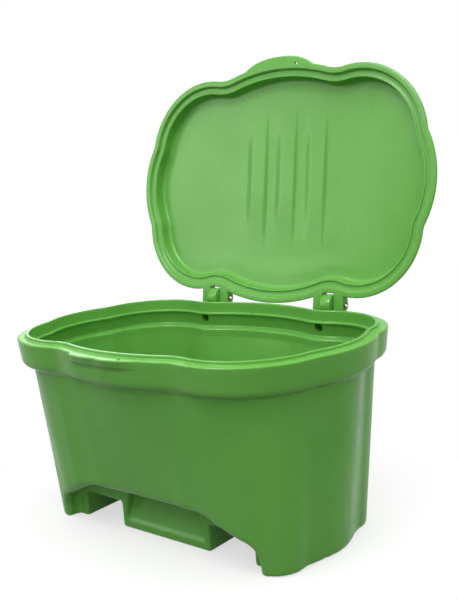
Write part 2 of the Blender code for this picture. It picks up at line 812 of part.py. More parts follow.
def main():
    clear_scene()
    green = make_material("green_plastic", (0.035, 0.22, 0.085), 0.38)
    steel = make_material("zinc_steel", (0.62, 0.63, 0.62), 0.32, 1.0)
    black = make_material("black_steel", (0.02, 0.02, 0.02), 0.45, 0.6)
    axis = Vector((0.0, HINGE_Y, HINGE_Z))
    hinge = bpy.data.objects.new("lid_hinge_axis", None)
    bpy.context.scene.collection.objects.link(hinge)
    hinge.location = axis
    hinge.rotation_euler.x = -OPEN_ANGLE
    build_tub(green)
    build_lid(green, axis, hinge)
    for side, sign in SIDES.items():
        build_tongue(side, sign, green, axis)
        build_pin(side, sign, steel, black, hinge)
        build_bolt(side, sign, steel, black)


main()
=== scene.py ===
"""Looks of the grit bin: moulded tub and lid, hinges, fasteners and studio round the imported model."""
import json
import math
from typing import NamedTuple

import bmesh
import bpy
import numpy as np
from bpy.props import FloatProperty, FloatVectorProperty, IntProperty, PointerProperty
from mathutils import Matrix, Vector


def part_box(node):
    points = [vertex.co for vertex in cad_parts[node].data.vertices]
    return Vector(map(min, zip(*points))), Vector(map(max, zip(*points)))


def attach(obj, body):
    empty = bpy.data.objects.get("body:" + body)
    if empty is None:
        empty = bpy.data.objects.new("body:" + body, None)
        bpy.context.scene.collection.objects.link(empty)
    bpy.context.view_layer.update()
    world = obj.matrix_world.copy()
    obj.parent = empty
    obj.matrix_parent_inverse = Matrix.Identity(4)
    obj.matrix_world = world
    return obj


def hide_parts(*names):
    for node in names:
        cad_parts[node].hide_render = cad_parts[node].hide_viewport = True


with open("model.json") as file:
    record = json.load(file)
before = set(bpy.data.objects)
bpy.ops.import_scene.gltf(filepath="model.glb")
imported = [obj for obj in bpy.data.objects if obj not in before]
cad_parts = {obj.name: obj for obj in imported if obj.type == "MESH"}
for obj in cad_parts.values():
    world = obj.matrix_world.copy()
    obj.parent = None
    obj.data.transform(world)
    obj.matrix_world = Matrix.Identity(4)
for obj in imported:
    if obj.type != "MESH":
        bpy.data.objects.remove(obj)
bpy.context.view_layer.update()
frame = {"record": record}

bl_info = {
    "name": "Grit Bin",
    "version": (1, 0, 0),
    "blender": (4, 5, 0),
    "location": "View3D > Sidebar > Grit Bin",
    "description": "Builds a moulded grit bin with a hinged lid, and a small studio for it",
    "category": "Add Mesh",
}

HINGE = frame["record"]["behaviour"]["joints"][0]
HINGE_AXIS = Vector(HINGE["pos_m"])
OPEN_ANGLE = math.radians(HINGE["range_deg"][1])
OPEN_LID = (
    Matrix.Translation(HINGE_AXIS)
    @ Matrix.Rotation(-OPEN_ANGLE, 4, "X")
    @ Matrix.Translation(-HINGE_AXIS)
)
ALONG_HINGE = Matrix.Translation(HINGE_AXIS) @ Matrix.Rotation(math.pi / 2, 4, "Y")
TURNS = ((0.0, math.pi / 2, 0.0), (-math.pi / 2, 0.0, 0.0))
SIDES = (-1, 1)

# Mesh steps
ROUND_SIDES = 48
HEX_SIDES = 6
EASE_STEPS = 5
TURNED_EASE_STEPS = 3
EAR_STEPS = 12
KNUCKLE_STEPS = 28
RIB_SAMPLES = 2000
SETTLE_ROUNDS = 3

# Tolerances
TINY = 1e-5
SLACK = 1e-6
LEAST_LENGTH = 1e-9
NUDGE = 1e-4
LEAST_SLOPE = 0.05

# Angles past which an edge is sharp or bevelled, and where the rounds of ears and tongues lie
SMOOTH_ANGLE = math.radians(38)
BEVEL_ANGLE = math.radians(40)
EAR_BACK = (math.radians(11.5), math.radians(110))
KNUCKLE_END = math.radians(-40)

# From a bend to the nearest mesh edge on a flat stretch of a profile
EDGE_GUARD = 0.004
# Heights under every piece, for a sweep that isn't filled anywhere
NO_FILL = (-2.0, -3.0)
# Share of a thickness that makes a nearly full round
FULL_ROUND = 1 / 2.2
# A cut longer than the lid is wide
PIN_CUT = 1.0

RIB_SIZES = ("Pitch", "Shift", "Crest", "Left Flank", "Right Flank", "Depth", "Front", "Back", "Rise", "Fall")
RIB_COUNT = 3
# How far past a rib's flank the mesh lines stay close, as a share of the flank
FLANK_MARGIN = 0.5

# Shades of the main colours in specks, dull patches and worn patches
SPECK_SHADE = 0.72
DULL_SHADE = 0.82
WORN_SHADE = 3.0

WHITE = (1.0, 1.0, 1.0, 1.0)
FLOOR_RADIUS = 30.0
FLOOR_SIDES = 64
FLOOR_ROUGHNESS = 0.9
SENSOR_HEIGHT = 36.0


class Bump(NamedTuple):
    """One layer of fine relief on a surface."""

    scale: float
    strength: float
    distance: float


class Lamp(NamedTuple):
    """A square lamp: the name of its power, and its place as seen from the camera's target."""

    name: str
    power: str
    extent: float
    turn: float
    rise: float
    distance: float
    lights: bool


# The last three only show in gloss
LAMPS = (
    Lamp("key_light", "key_power", extent=2.0, turn=-12.0, rise=50.0, distance=3.0, lights=True),
    Lamp("top_light", "top_power", extent=2.6, turn=40.0, rise=80.0, distance=2.8, lights=True),
    Lamp("fill_light", "fill_power", extent=2.0, turn=62.0, rise=16.0, distance=3.2, lights=True),
    Lamp("rear_light", "rear_power", extent=2.0, turn=165.0, rise=52.0, distance=3.0, lights=True),
    Lamp("gloss_card", "card_power", extent=1.0, turn=-54.0, rise=20.0, distance=1.9, lights=False),
    Lamp("gloss_back", "back_power", extent=1.6, turn=-133.0, rise=17.0, distance=3.0, lights=False),
    Lamp("gloss_glint", "glint_power", extent=0.35, turn=-15.0, rise=48.0, distance=3.0, lights=False),
)


def amount(default, label, text):
    return FloatProperty(name=label, description=text, default=default)


def rotation(default, label, text):
    return FloatProperty(name=label, description=text, default=default, subtype="ANGLE")


def size(default, label, text):
    return FloatProperty(name=label, description=text, default=default, unit="LENGTH", precision=4)


def share(default, label, text):
    return FloatProperty(name=label, description=text, default=default, subtype="FACTOR")


def colour(default, label, text):
    return FloatVectorProperty(
        name=label, description=text, default=default, subtype="COLOR", size=3, min=0.0, max=1.0
    )


def count(default, label, text):
    return IntProperty(name=label, description=text, default=default, min=1)


class GritBinPlan(bpy.types.PropertyGroup):
    """Plan of the rim: eight lobes that meet in valleys, alike left and right."""

    front_valley_x: size(0.189, "Front valley X", "Half the width of the front lobe")
    front_valley_y: size(0.292, "Front valley Y", "How far forward the front valleys lie")
    side_valley_x: size(0.461, "Side valley X", "How far out the side valleys lie")
    side_valley_y: size(0.120, "Side valley Y", "Half the length of a side lobe")
    back_valley_x: size(0.195, "Back valley X", "Half the distance between the hinges")
    back_valley_y: size(0.289, "Back valley Y", "How far back the back valleys lie")
    front_bulge: size(0.034, "Front bulge", "How far the front lobe stands out")
    front_corner_bulge: size(0.074, "Front corner bulge", "How far a front corner stands out")
    side_bulge: size(0.030, "Side bulge", "How far a side lobe stands out")
    back_corner_bulge: size(0.083, "Back corner bulge", "How far a back corner stands out")
    back_bulge: size(0.042, "Back bulge", "How far the back lobe stands out")
    front_valley_round: size(0.110, "Front valley round", "Round in the bottom of the front valleys")
    side_valley_round: size(0.050, "Side valley round", "Round in the bottom of the side valleys")
    back_valley_round: size(0.080, "Back valley round", "Round in the bottom of the back valleys")
    spacing: size(0.0068, "Spacing", "Length of a mesh edge along the rim")
    valley_steps: count(6, "Valley steps", "Fewest mesh edges round a valley")


class GritBinTub(bpy.types.PropertyGroup):
    """Wall, rim and taper of the tub."""

    wall: size(0.0055, "Wall", "Thickness of the moulded wall")
    rim_height: size(0.498, "Rim height", "Height of the flat rim")
    rim_edge: size(0.005, "Rim edge", "Round on the outer edge of the rim")
    band_height: size(0.066, "Band height", "Height of the band under the rim")
    band_draft: size(0.008, "Band draft", "How far the band leans in towards its foot")
    band_edge: size(0.012, "Band edge", "Round on the lower edge of the band")
    step_in: size(0.028, "Step in", "How far the body is set in under the band")
    step_drop: size(0.010, "Step drop", "Fall of the underside of the band")
    waist_round: size(0.012, "Waist round", "Round where the body meets the band")
    base_inset: size(0.082, "Base inset", "How far the foot of the body lies inside the rim")
    base_flatten: size(0.038, "Base flatten", "How much flatter the front and back are at the foot")
    flatten_half: size(0.300, "Flatten half", "Half the width that is flattened")
    front_foot_spread: size(0.017, "Front foot spread", "How far the front feet stand out")
    back_foot_spread: size(0.008, "Back foot spread", "How far the back feet stand out")
    foot_corner_x: size(0.430, "Foot corner X", "Place of a foot along the rim")
    foot_corner_y: size(0.195, "Foot corner Y", "Place of a foot along the rim")
    foot_corner_reach: size(0.130, "Foot reach", "Length of rim that a foot takes up")
    valley_fill: size(0.013, "Valley fill", "How much the body fills the front valleys under the band")
    valley_reach: size(0.052, "Valley reach", "How far to each side of a front valley it is filled")
    upstand_inset: size(0.0215, "Upstand inset", "From the rim's edge to the upstand")
    upstand_width: size(0.0085, "Upstand width", "Thickness of the upstand")
    upstand_height: size(0.0085, "Upstand height", "Height of the upstand above the rim")
    upstand_round: size(0.0032, "Upstand round", "Round on the upstand")
    lip_drop: size(0.0215, "Lip drop", "From the rim down to the trimmed lip")
    lip_reach: size(0.0085, "Lip reach", "How far the trimmed lip stands in")
    lip_thick: size(0.005, "Lip thickness", "Thickness of the trimmed lip")
    grip_half: size(0.115, "Grip half", "Half the width of the front grip")
    grip_ramp: size(0.020, "Grip ramp", "Length over which the grip rises on the left")
    grip_fade: size(0.090, "Grip fade", "Length over which the grip fades to the right")
    grip_reach: size(0.0140, "Grip reach", "How far the grip stands out of the rim")
    grip_lip: size(0.020, "Grip lip", "Thickness of the grip's rolled edge")
    grip_dip: share(0.45, "Grip dip", "How much the rolled edge dips beside the middle")
    grip_dip_x: size(-0.016, "Grip dip X", "Place of the dip")
    grip_dip_width: size(0.020, "Grip dip width", "Width of the dip")
    grip_scoop: size(0.005, "Grip scoop", "Depth of the finger hollow under the grip")
    grip_depth: size(0.040, "Grip depth", "From the rim down to the foot of the finger hollow")
    grip_undercut: share(0.45, "Grip undercut", "How far the rolled edge turns back underneath")
    inner_set: size(0.006, "Inner set", "How far the wall inside the band lies behind the lip")
    inner_step: size(0.016, "Inner step", "Width of the ledge inside the wall")
    inner_fall: size(0.005, "Inner fall", "How much the ledge falls inwards")
    inner_drop: size(0.062, "Inner drop", "From the rim down to the step inside the wall")
    inner_ease: size(0.004, "Inner ease", "Round on the step inside the wall")
    padlock_x: size(0.060, "Padlock X", "Place of the padlock hole beside the middle")
    padlock_y: size(0.3204, "Padlock Y", "How far forward the padlock hole lies")
    padlock_hole: size(0.009, "Padlock hole", "Diameter of the padlock hole")
    join_height: size(0.190, "Join height", "Height at which the swept wall meets the modelled base")


class GritBinBase(bpy.types.PropertyGroup):
    """Recesses, fork channels and leaning panel of the base."""

    sole_round: size(0.0065, "Sole round", "Round along the soles")
    recess_foot_half: size(0.318, "Recess foot half", "Half the width of a recess at the ground")
    recess_foot_rise: size(0.0625, "Recess foot rise", "Height at which the recess turns in")
    recess_foot_round: size(0.025, "Recess foot round", "Radius of that turn")
    recess_top_half: size(0.187, "Recess top half", "Half the width of the recess at its top")
    recess_top_round: size(0.012, "Recess top round", "Radius of the turn at its top")
    recess_height: size(0.126, "Recess height", "Height of the recess")
    recess_plane: size(0.166, "Recess plane", "From the middle to the back of the recess")
    recess_hollow: size(0.016, "Recess hollow", "Round in the corner at the back of the recess")
    recess_edge: size(0.020, "Recess edge", "Round on the outer edge of the recess")
    channel_inner: size(0.148, "Channel inner", "Inner side of a fork channel")
    channel_outer: size(0.281, "Channel outer", "Outer side of a fork channel")
    channel_height: size(0.068, "Channel height", "Height of a fork channel")
    channel_round: size(0.008, "Channel round", "Round in the upper corners of a channel")
    channel_edge: size(0.006, "Channel edge", "Round on the mouth of a channel")
    panel_jamb: size(0.014, "Panel jamb", "Width left beside the panel")
    panel_sill: size(0.019, "Panel sill", "Height left under the panel")
    panel_set: size(0.004, "Panel set", "How far the panel's lower edge lies behind the sill")
    panel_top: size(0.104, "Panel top", "Height of the panel's upper edge")
    panel_lean: size(0.040, "Panel lean", "How far the panel leans back")
    panel_taper: size(0.018, "Panel taper", "How much narrower the panel is at its top")
    panel_round: size(0.009, "Panel round", "Round in the corners of the panel")
    panel_edge: size(0.004, "Panel edge", "Round on the edge of the panel")
    cell: size(0.0060, "Cell", "Mesh size of the modelled base")
    smoothing: count(4, "Smoothing", "How often the base's mesh is evened out")


class GritBinLid(bpy.types.PropertyGroup):
    """The lid, with heights above the underside of its flange."""

    gap: size(0.0008, "Gap", "Between the closed lid and the rim")
    wall: size(0.0055, "Wall", "Thickness of the lid")
    flange: size(0.016, "Flange", "Width of the flange")
    groove_height: size(0.0100, "Groove height", "Depth of the groove over the upstand")
    bead_gap: size(0.0015, "Bead gap", "Between the upstand and the bead")
    bead_width: size(0.005, "Bead width", "Width of the bead")
    bead_set: size(0.0076, "Bead set", "How far the bead's tip lies above the flange's underside")
    rim_thick: size(0.0075, "Rim thickness", "Thickness of the flange at its rolled edge")
    edge_round: size(0.0032, "Edge round", "Round on the bead and in the groove")
    depth: size(0.0490, "Depth", "Depth of the hollow under the middle of the panel")
    crown: size(0.010, "Crown", "How far the panel rises to its middle")
    wall_lean: size(0.0025, "Wall lean", "How far the wall leans in")
    dome_round: size(0.010, "Dome round", "Round between the wall and the panel")
    grip_reach: size(0.019, "Grip reach", "How far the grip stands out of the flange")
    rib_pitch: size(0.100, "Rib pitch", "Distance between the ribs")
    rib_crest: size(0.0420, "Rib crest", "Width of a rib at its crest")
    rib_left_flank: size(0.0270, "Rib left flank", "Width of a rib's gentle flank on the left")
    rib_right_flank: size(0.0075, "Rib right flank", "Width of a rib's steep flank on the right")
    rib_depth: size(0.0064, "Rib depth", "How far a rib stands in")
    rib_shift: size(0.0155, "Rib shift", "Place of the middle rib beside the middle")
    rib_front: size(-0.225, "Rib front", "Front end of the ribs")
    rib_back: size(0.188, "Rib back", "Back end of the ribs")
    rib_rise: size(0.170, "Rib rise", "Length over which a rib rises from its front end")
    rib_fall: size(0.170, "Rib fall", "Length over which a rib falls to its back end")
    grid_half: size(0.152, "Grid half", "Half the width of the panel that has mesh lines along the ribs")
    grid_front: size(-0.180, "Grid front", "Front edge of that part of the panel")
    grid_back: size(0.185, "Grid back", "Back edge of that part of the panel")
    grid_rings: count(10, "Grid rings", "Mesh rings round that part of the panel")


class GritBinHinge(bpy.types.PropertyGroup):
    """Ears, tongues, bosses and fasteners of the two hinges."""

    clearance: size(0.0003, "Clearance", "Gap between pieces that touch")
    tongue_width: size(0.030, "Tongue width", "Width of a tongue")
    tongue_plate: size(0.008, "Tongue plate", "Thickness of a tongue's plate")
    tongue_radius: size(0.0275, "Tongue radius", "Radius of a tongue's knuckle")
    tongue_length: size(0.061, "Tongue length", "From the rim down to the end of a tongue")
    ear_width: size(0.030, "Ear width", "Width of an ear")
    ear_radius: size(0.0165, "Ear radius", "Radius of an ear's round back")
    ear_heel: size(0.024, "Ear heel", "How far an ear's heel stands back")
    ear_root: size(0.012, "Ear root", "How far an ear reaches into the flange")
    side_gap: size(0.002, "Side gap", "Between an ear and the tongue")
    edge: size(0.0016, "Edge", "Bevel on the ears, tongues and bosses")
    boss_margin: size(0.002, "Boss margin", "How far a boss stands out beside the ears")
    boss_top_drop: size(0.002, "Boss top drop", "From the rim down to a boss")
    pin_radius: size(0.004, "Pin radius", "Radius of a hinge pin")
    pin_head_radius: size(0.0065, "Pin head radius", "Radius of a pin's head")
    pin_head: size(0.003, "Pin head", "Thickness of a pin's head")
    retainer_radius: size(0.008, "Retainer radius", "Radius of a push-on retainer")
    retainer_thick: size(0.002, "Retainer thickness", "Thickness of a retainer")
    bolt_radius: size(0.004, "Bolt radius", "Radius of a tongue bolt")
    bolt_drop: size(0.037, "Bolt drop", "From the rim down to the bolts")
    bolt_head: size(0.0053, "Bolt head", "Thickness of a bolt head")
    across_flats: size(0.013, "Across flats", "Width of the hexagons")
    nut_thick: size(0.0065, "Nut thickness", "Thickness of a nut")
    washer_thick: size(0.0016, "Washer thickness", "Thickness of a washer")
    outer_washer_radius: size(0.008, "Outer washer", "Radius of an outer washer")
    inner_washer_radius: size(0.0105, "Inner washer", "Radius of an inner washer")
    seat_margin: size(0.002, "Seat margin", "Room round an inner washer in its pocket")


class GritBinFinish(bpy.types.PropertyGroup):
    """Colours and surfaces."""

    green: colour((0.112, 0.350, 0.055), "Green", "Main colour of the plastic")
    pale_green: colour((0.132, 0.392, 0.068), "Pale green", "Lighter cloud in the plastic")
    zinc: colour((0.68, 0.69, 0.68), "Zinc", "Bright zinc of the pins and bolts")
    black: colour((0.075, 0.062, 0.034), "Black", "Black steel of the nuts and retainers")
    gloss: share(0.25, "Gloss roughness", "Roughness of the smoothest plastic")
    satin: share(0.36, "Satin roughness", "Roughness of the dullest plastic")
    sheen: share(0.12, "Sheen", "How strongly the plastic mirrors what is round it")


class GritBinStudio(bpy.types.PropertyGroup):
    """Camera and light."""

    azimuth: rotation(0.70136, "Azimuth", "Camera's turn from the front")
    elevation: rotation(0.17500, "Elevation", "Camera's rise above level")
    roll: rotation(0.074034, "Roll", "Tilt of the picture")
    distance: size(2.27514, "Distance", "From the camera to its target")
    target: FloatVectorProperty(
        name="Target",
        description="Point that the camera looks at",
        default=(0.073169, 0.051118, 0.557786),
        subtype="XYZ_LENGTH",
    )
    focal_length: amount(54.744, "Focal length", "Lens in millimetres")
    shift_x: amount(0.00249, "Shift X", "Sideways shift")
    shift_y: amount(0.00514, "Shift Y", "Upward shift")
    key_power: amount(32.0, "Key light", "Power of the key light")
    top_power: amount(58.0, "Top light", "Power of the top light")
    fill_power: amount(12.0, "Fill light", "Power of the fill light")
    rear_power: amount(26.0, "Rear light", "Power of the rear light")
    card_power: amount(24.0, "Card", "Power of the card that only shows in gloss")
    back_power: amount(34.0, "Back card", "Power of the card behind that only shows in gloss")
    glint_power: amount(220.0, "Glint", "Power of the small lamp that only shows in gloss")
    world_strength: amount(0.75, "World", "Strength of the even light from all round")
    floor_colour: colour((0.90, 0.90, 0.90), "Floor", "Colour of the floor beside the bin")
    bounce_colour: colour((0.16, 0.16, 0.16), "Bounce", "Light that the floor sends back up")
    floor_near: size(0.42, "Floor near", "Where the floor starts to turn white")
    floor_far: size(0.80, "Floor far", "Where the floor is white")
    floor_white: share(0.62, "Floor white", "Share of plain white in the floor beside the bin")
    floor_gap: size(0.0005, "Floor gap", "How far the floor lies under the soles")


class Tree:
    """Adds and links the nodes of one node tree."""

    def __init__(self, tree):
        self.tree = tree

    def feed(self, socket, value):
        if isinstance(value, bpy.types.NodeSocket):
            self.tree.links.new(value, socket)
        else:
            socket.default_value = value

    def add(self, kind, inputs=(), **settings):
        node = self.tree.nodes.new(kind)
        for name, value in settings.items():
            setattr(node, name, value)
        for name, value in dict(inputs).items():
            self.feed(node.inputs[name], value)
        return node

    def apply(self, kind, operation, values):
        node = self.add(kind, operation=operation)
        for socket, value in zip(node.inputs, values):
            self.feed(socket, value)
        return node.outputs[0]

    def math(self, operation, *values):
        return self.apply("ShaderNodeMath", operation, values)

    def vector(self, operation, *values):
        return self.apply("ShaderNodeVectorMath", operation, values)

    def split(self, vector):
        return self.add("ShaderNodeSeparateXYZ", {0: vector}).outputs

    def join(self, **axes):
        return self.add("ShaderNodeCombineXYZ", axes).outputs[0]

    def eased(self, value, start, end, low=0.0):
        """Rises smoothly to one while a value runs from start to end."""
        limits = {"Value": value, "From Min": start, "From Max": end, "To Min": low}
        return self.add("ShaderNodeMapRange", limits, interpolation_type="SMOOTHSTEP").outputs[0]

    def end(self, geometry, material):
        """Ends a geometry tree in real geometry with one material."""
        real = self.add("GeometryNodeRealizeInstances", {"Geometry": geometry}).outputs[0]
        finished = self.add("GeometryNodeSetMaterial", {"Geometry": real, "Material": material})
        self.add("NodeGroupOutput", {"Geometry": finished.outputs[0]})
        return self.tree


def geometry_tree(name, inputs):
    """A geometry tree with named inputs of some kinds, and the sockets that give them."""
    group = bpy.data.node_groups.new(name, "GeometryNodeTree")
    for label, kind in inputs:
        group.interface.new_socket(label, in_out="INPUT", socket_type="NodeSocket" + kind)
    group.interface.new_socket("Geometry", in_out="OUTPUT", socket_type="NodeSocketGeometry")
    tree = Tree(group)
    return tree, tree.add("NodeGroupInput").outputs


def angle_of(vector):
    return math.atan2(vector[1], vector[0])


def turn_between(start, end):
    return (end - start + math.pi) % (2 * math.pi) - math.pi


def lobe_circle(start, end, bulge):
    """Centre and radius of the arc that bulges outwards between two valleys."""
    chord = end - start
    half = chord.length / 2
    radius = (half ** 2 + bulge ** 2) / (2 * bulge)
    outward = Vector((chord.y, -chord.x)).normalized()
    return (start + end) / 2 - outward * (radius - bulge), radius


def valley_centre(first, second, valley, rounding):
    """Centre of the round that eases the valley between two lobes, outside both."""
    reach_first = first[1] + rounding
    reach_second = second[1] + rounding
    span = second[0] - first[0]
    along = (span.length_squared + reach_first ** 2 - reach_second ** 2) / (2 * span.length)
    across = math.sqrt(reach_first ** 2 - along ** 2)
    forward = span.normalized()
    sideways = Vector((-forward.y, forward.x))
    middle = first[0] + forward * along
    choices = [middle + sideways * across, middle - sideways * across]
    return min(choices, key=lambda point: (point - valley).length)


def rim_arcs(plan):
    """Arcs once round the rim from the front: centre, radius, start, turn and outward sign."""
    right = [
        Vector((plan.front_valley_x, -plan.front_valley_y)),
        Vector((plan.side_valley_x, -plan.side_valley_y)),
        Vector((plan.side_valley_x, plan.side_valley_y)),
        Vector((plan.back_valley_x, plan.back_valley_y)),
    ]
    valleys = right + [Vector((-valley.x, valley.y)) for valley in reversed(right)]
    bulges = [
        plan.front_bulge,
        plan.front_corner_bulge,
        plan.side_bulge,
        plan.back_corner_bulge,
        plan.back_bulge,
    ]
    bulges += bulges[3:0:-1]
    easing = [
        plan.front_valley_round,
        plan.side_valley_round,
        plan.side_valley_round,
        plan.back_valley_round,
    ]
    easing += reversed(easing)
    total = len(valleys)
    lobes = [lobe_circle(valleys[i - 1], valleys[i], bulges[i]) for i in range(total)]
    rounds = [
        valley_centre(lobes[i], lobes[(i + 1) % total], valleys[i], easing[i]) for i in range(total)
    ]
    arcs = []
    for i, (centre, radius) in enumerate(lobes):
        start = angle_of(rounds[i - 1] - centre)
        arcs.append((centre, radius, start, turn_between(start, angle_of(rounds[i] - centre)), 1))
        hollow = rounds[i]
        start = angle_of(centre - hollow)
        end = angle_of(lobes[(i + 1) % total][0] - hollow)
        arcs.append((hollow, easing[i], start, turn_between(start, end), -1))
    return arcs


def rim_points(plan):
    """Evenly spaced points once round the rim, counter-clockwise from the front."""
    points = []
    for centre, radius, start, turn, outward in rim_arcs(plan):
        even = 2 * max(round(abs(turn) * radius / plan.spacing / 2), 1)
        steps = even if outward > 0 else max(even, plan.valley_steps)
        for i in range(steps):
            angle = start + turn * i / steps
            points.append((centre.x + radius * math.cos(angle), centre.y + radius * math.sin(angle)))
    return np.array(points)


def rim_inset(plan, places):
    """How far inside the rim each place lies, and the point of the rim nearest to it."""
    best = np.full(len(places), np.inf)
    nearest = np.zeros_like(places)
    for centre, radius, start, turn, outward in rim_arcs(plan):
        away = places - np.array(centre)
        length = np.maximum(np.hypot(away[:, 0], away[:, 1]), LEAST_LENGTH)
        angle = np.arctan2(away[:, 1], away[:, 0])
        off = np.abs((angle - (start + turn / 2) + math.pi) % (2 * math.pi) - math.pi)
        inset = outward * (radius - length)
        found = (off <= abs(turn) / 2 + SLACK) & (inset < best)
        best = np.where(found, inset, best)
        rim = np.array(centre) + away * (radius / length)[:, None]
        nearest = np.where(found[:, None], rim, nearest)
    return best, nearest


def smooth_step(values):
    values = np.clip(values, 0.0, 1.0)
    return values * values * (3 - 2 * values)


def base_extra(tub, rim):
    """How much further in each point of the rim lies at the base than the base's inset."""
    x, y = np.abs(rim[:, 0]), np.abs(rim[:, 1])
    flat = np.cos(np.minimum(x / tub.flatten_half, 1.0) * math.pi / 2) ** 2
    away = np.hypot(x - tub.foot_corner_x, y - tub.foot_corner_y) / tub.foot_corner_reach
    spread = np.where(rim[:, 1] < 0, tub.front_foot_spread, tub.back_foot_spread)
    return tub.base_flatten * flat - spread * np.maximum(1 - away ** 2, 0.0) ** 2


def body_fill(settings, rim):
    """How far the body under the band stands out at each point of the rim to fill the front valleys."""
    tub, plan = settings.grit_tub, settings.grit_plan
    away = (np.abs(rim[:, 0]) - plan.front_valley_x) / tub.valley_reach
    return tub.valley_fill * np.exp(-away ** 2) * (rim[:, 1] < 0)


def tub_grip(tub, rim):
    """Share of the tub's grip along the rim: steep on the left, fading to the right, with a dip."""
    x = rim[:, 0]
    risen = smooth_step((x + tub.grip_half) / tub.grip_ramp)
    faded = smooth_step((tub.grip_half - x) / tub.grip_fade)
    dip = 1 - tub.grip_dip * np.exp(-((x - tub.grip_dip_x) / tub.grip_dip_width) ** 2)
    return risen * faded * dip * (rim[:, 1] < 0)


def lid_grip(tub, rim):
    """Share of the lid's grip along the rim: one arched tab."""
    arch = 1 - np.minimum(np.abs(rim[:, 0]) / tub.grip_half, 1.0) ** 3
    return arch * (rim[:, 1] < 0)


def add_object(name, data):
    thing = bpy.data.objects.new(name, data)
    bpy.context.scene.collection.objects.link(thing)
    return thing


def poly_curve(name, points, cyclic=False):
    """A curve object through (x, y, z, tilt, radius) points, used only to feed a node tree."""
    curve = bpy.data.curves.new(name, "CURVE")
    curve.dimensions = "3D"
    spline = curve.splines.new("POLY")
    spline.points.add(len(points) - 1)
    spline.use_cyclic_u = cyclic
    for point, (x, y, z, tilt, radius) in zip(spline.points, points):
        point.co = (x, y, z, 1.0)
        point.tilt = tilt
        point.radius = radius
    return add_object(name, curve)


def rim_curve(name, settings, grip=tub_grip):
    """The rim: z is what the base adds to a point's inset, tilt the body's fill, radius the grip."""
    rim = rim_points(settings.grit_plan)
    tub = settings.grit_tub
    columns = (base_extra(tub, rim), body_fill(settings, rim), grip(tub, rim))
    points = [(x, y, *rest) for (x, y), *rest in zip(rim, *columns)]
    return poly_curve(name, points, cyclic=True)


def round_curve(name, radius, sides):
    """A circle, or a polygon with few sides, for turned pieces."""
    angles = [2 * math.pi * i / sides for i in range(sides)]
    points = [(radius * math.cos(a), radius * math.sin(a), 0.0, 0.0, 0.0) for a in angles]
    return poly_curve(name, points, cyclic=True)


def bend(inset, height, cut=0.0, grip=0.0, low=0.0, spread=1.0):
    """A corner of a profile: its place and shares of grip, base and spread, and what its round cuts."""
    return np.array((inset, height, grip, low, spread)), cut


def profile_curve(name, bends, steps=EASE_STEPS, guard=EDGE_GUARD):
    """A profile through bends, each eased over its cut."""
    rows = [row for row, _ in bends]
    eased = []
    for i, (here, cut) in enumerate(bends):
        if not cut:
            eased.append(here)
            continue
        ends = []
        for other in (rows[i - 1], rows[i + 1]):
            length = np.linalg.norm((other - here)[:2])
            ends.append(here + (other - here) * min(cut / length, 0.5))
        for step in range(steps + 1):
            t = step / steps
            eased.append(ends[0] * (1 - t) ** 2 + here * (2 * t * (1 - t)) + ends[1] * t ** 2)
    points = [eased[0]]
    for before, after in zip(eased, eased[1:]):
        length = np.linalg.norm((after - before)[:2])
        if length > 3 * guard:
            points += [before + (after - before) * t for t in (guard / length, 1 - guard / length)]
        points.append(after)
    return poly_curve(name, [tuple(float(v) for v in point) for point in points])


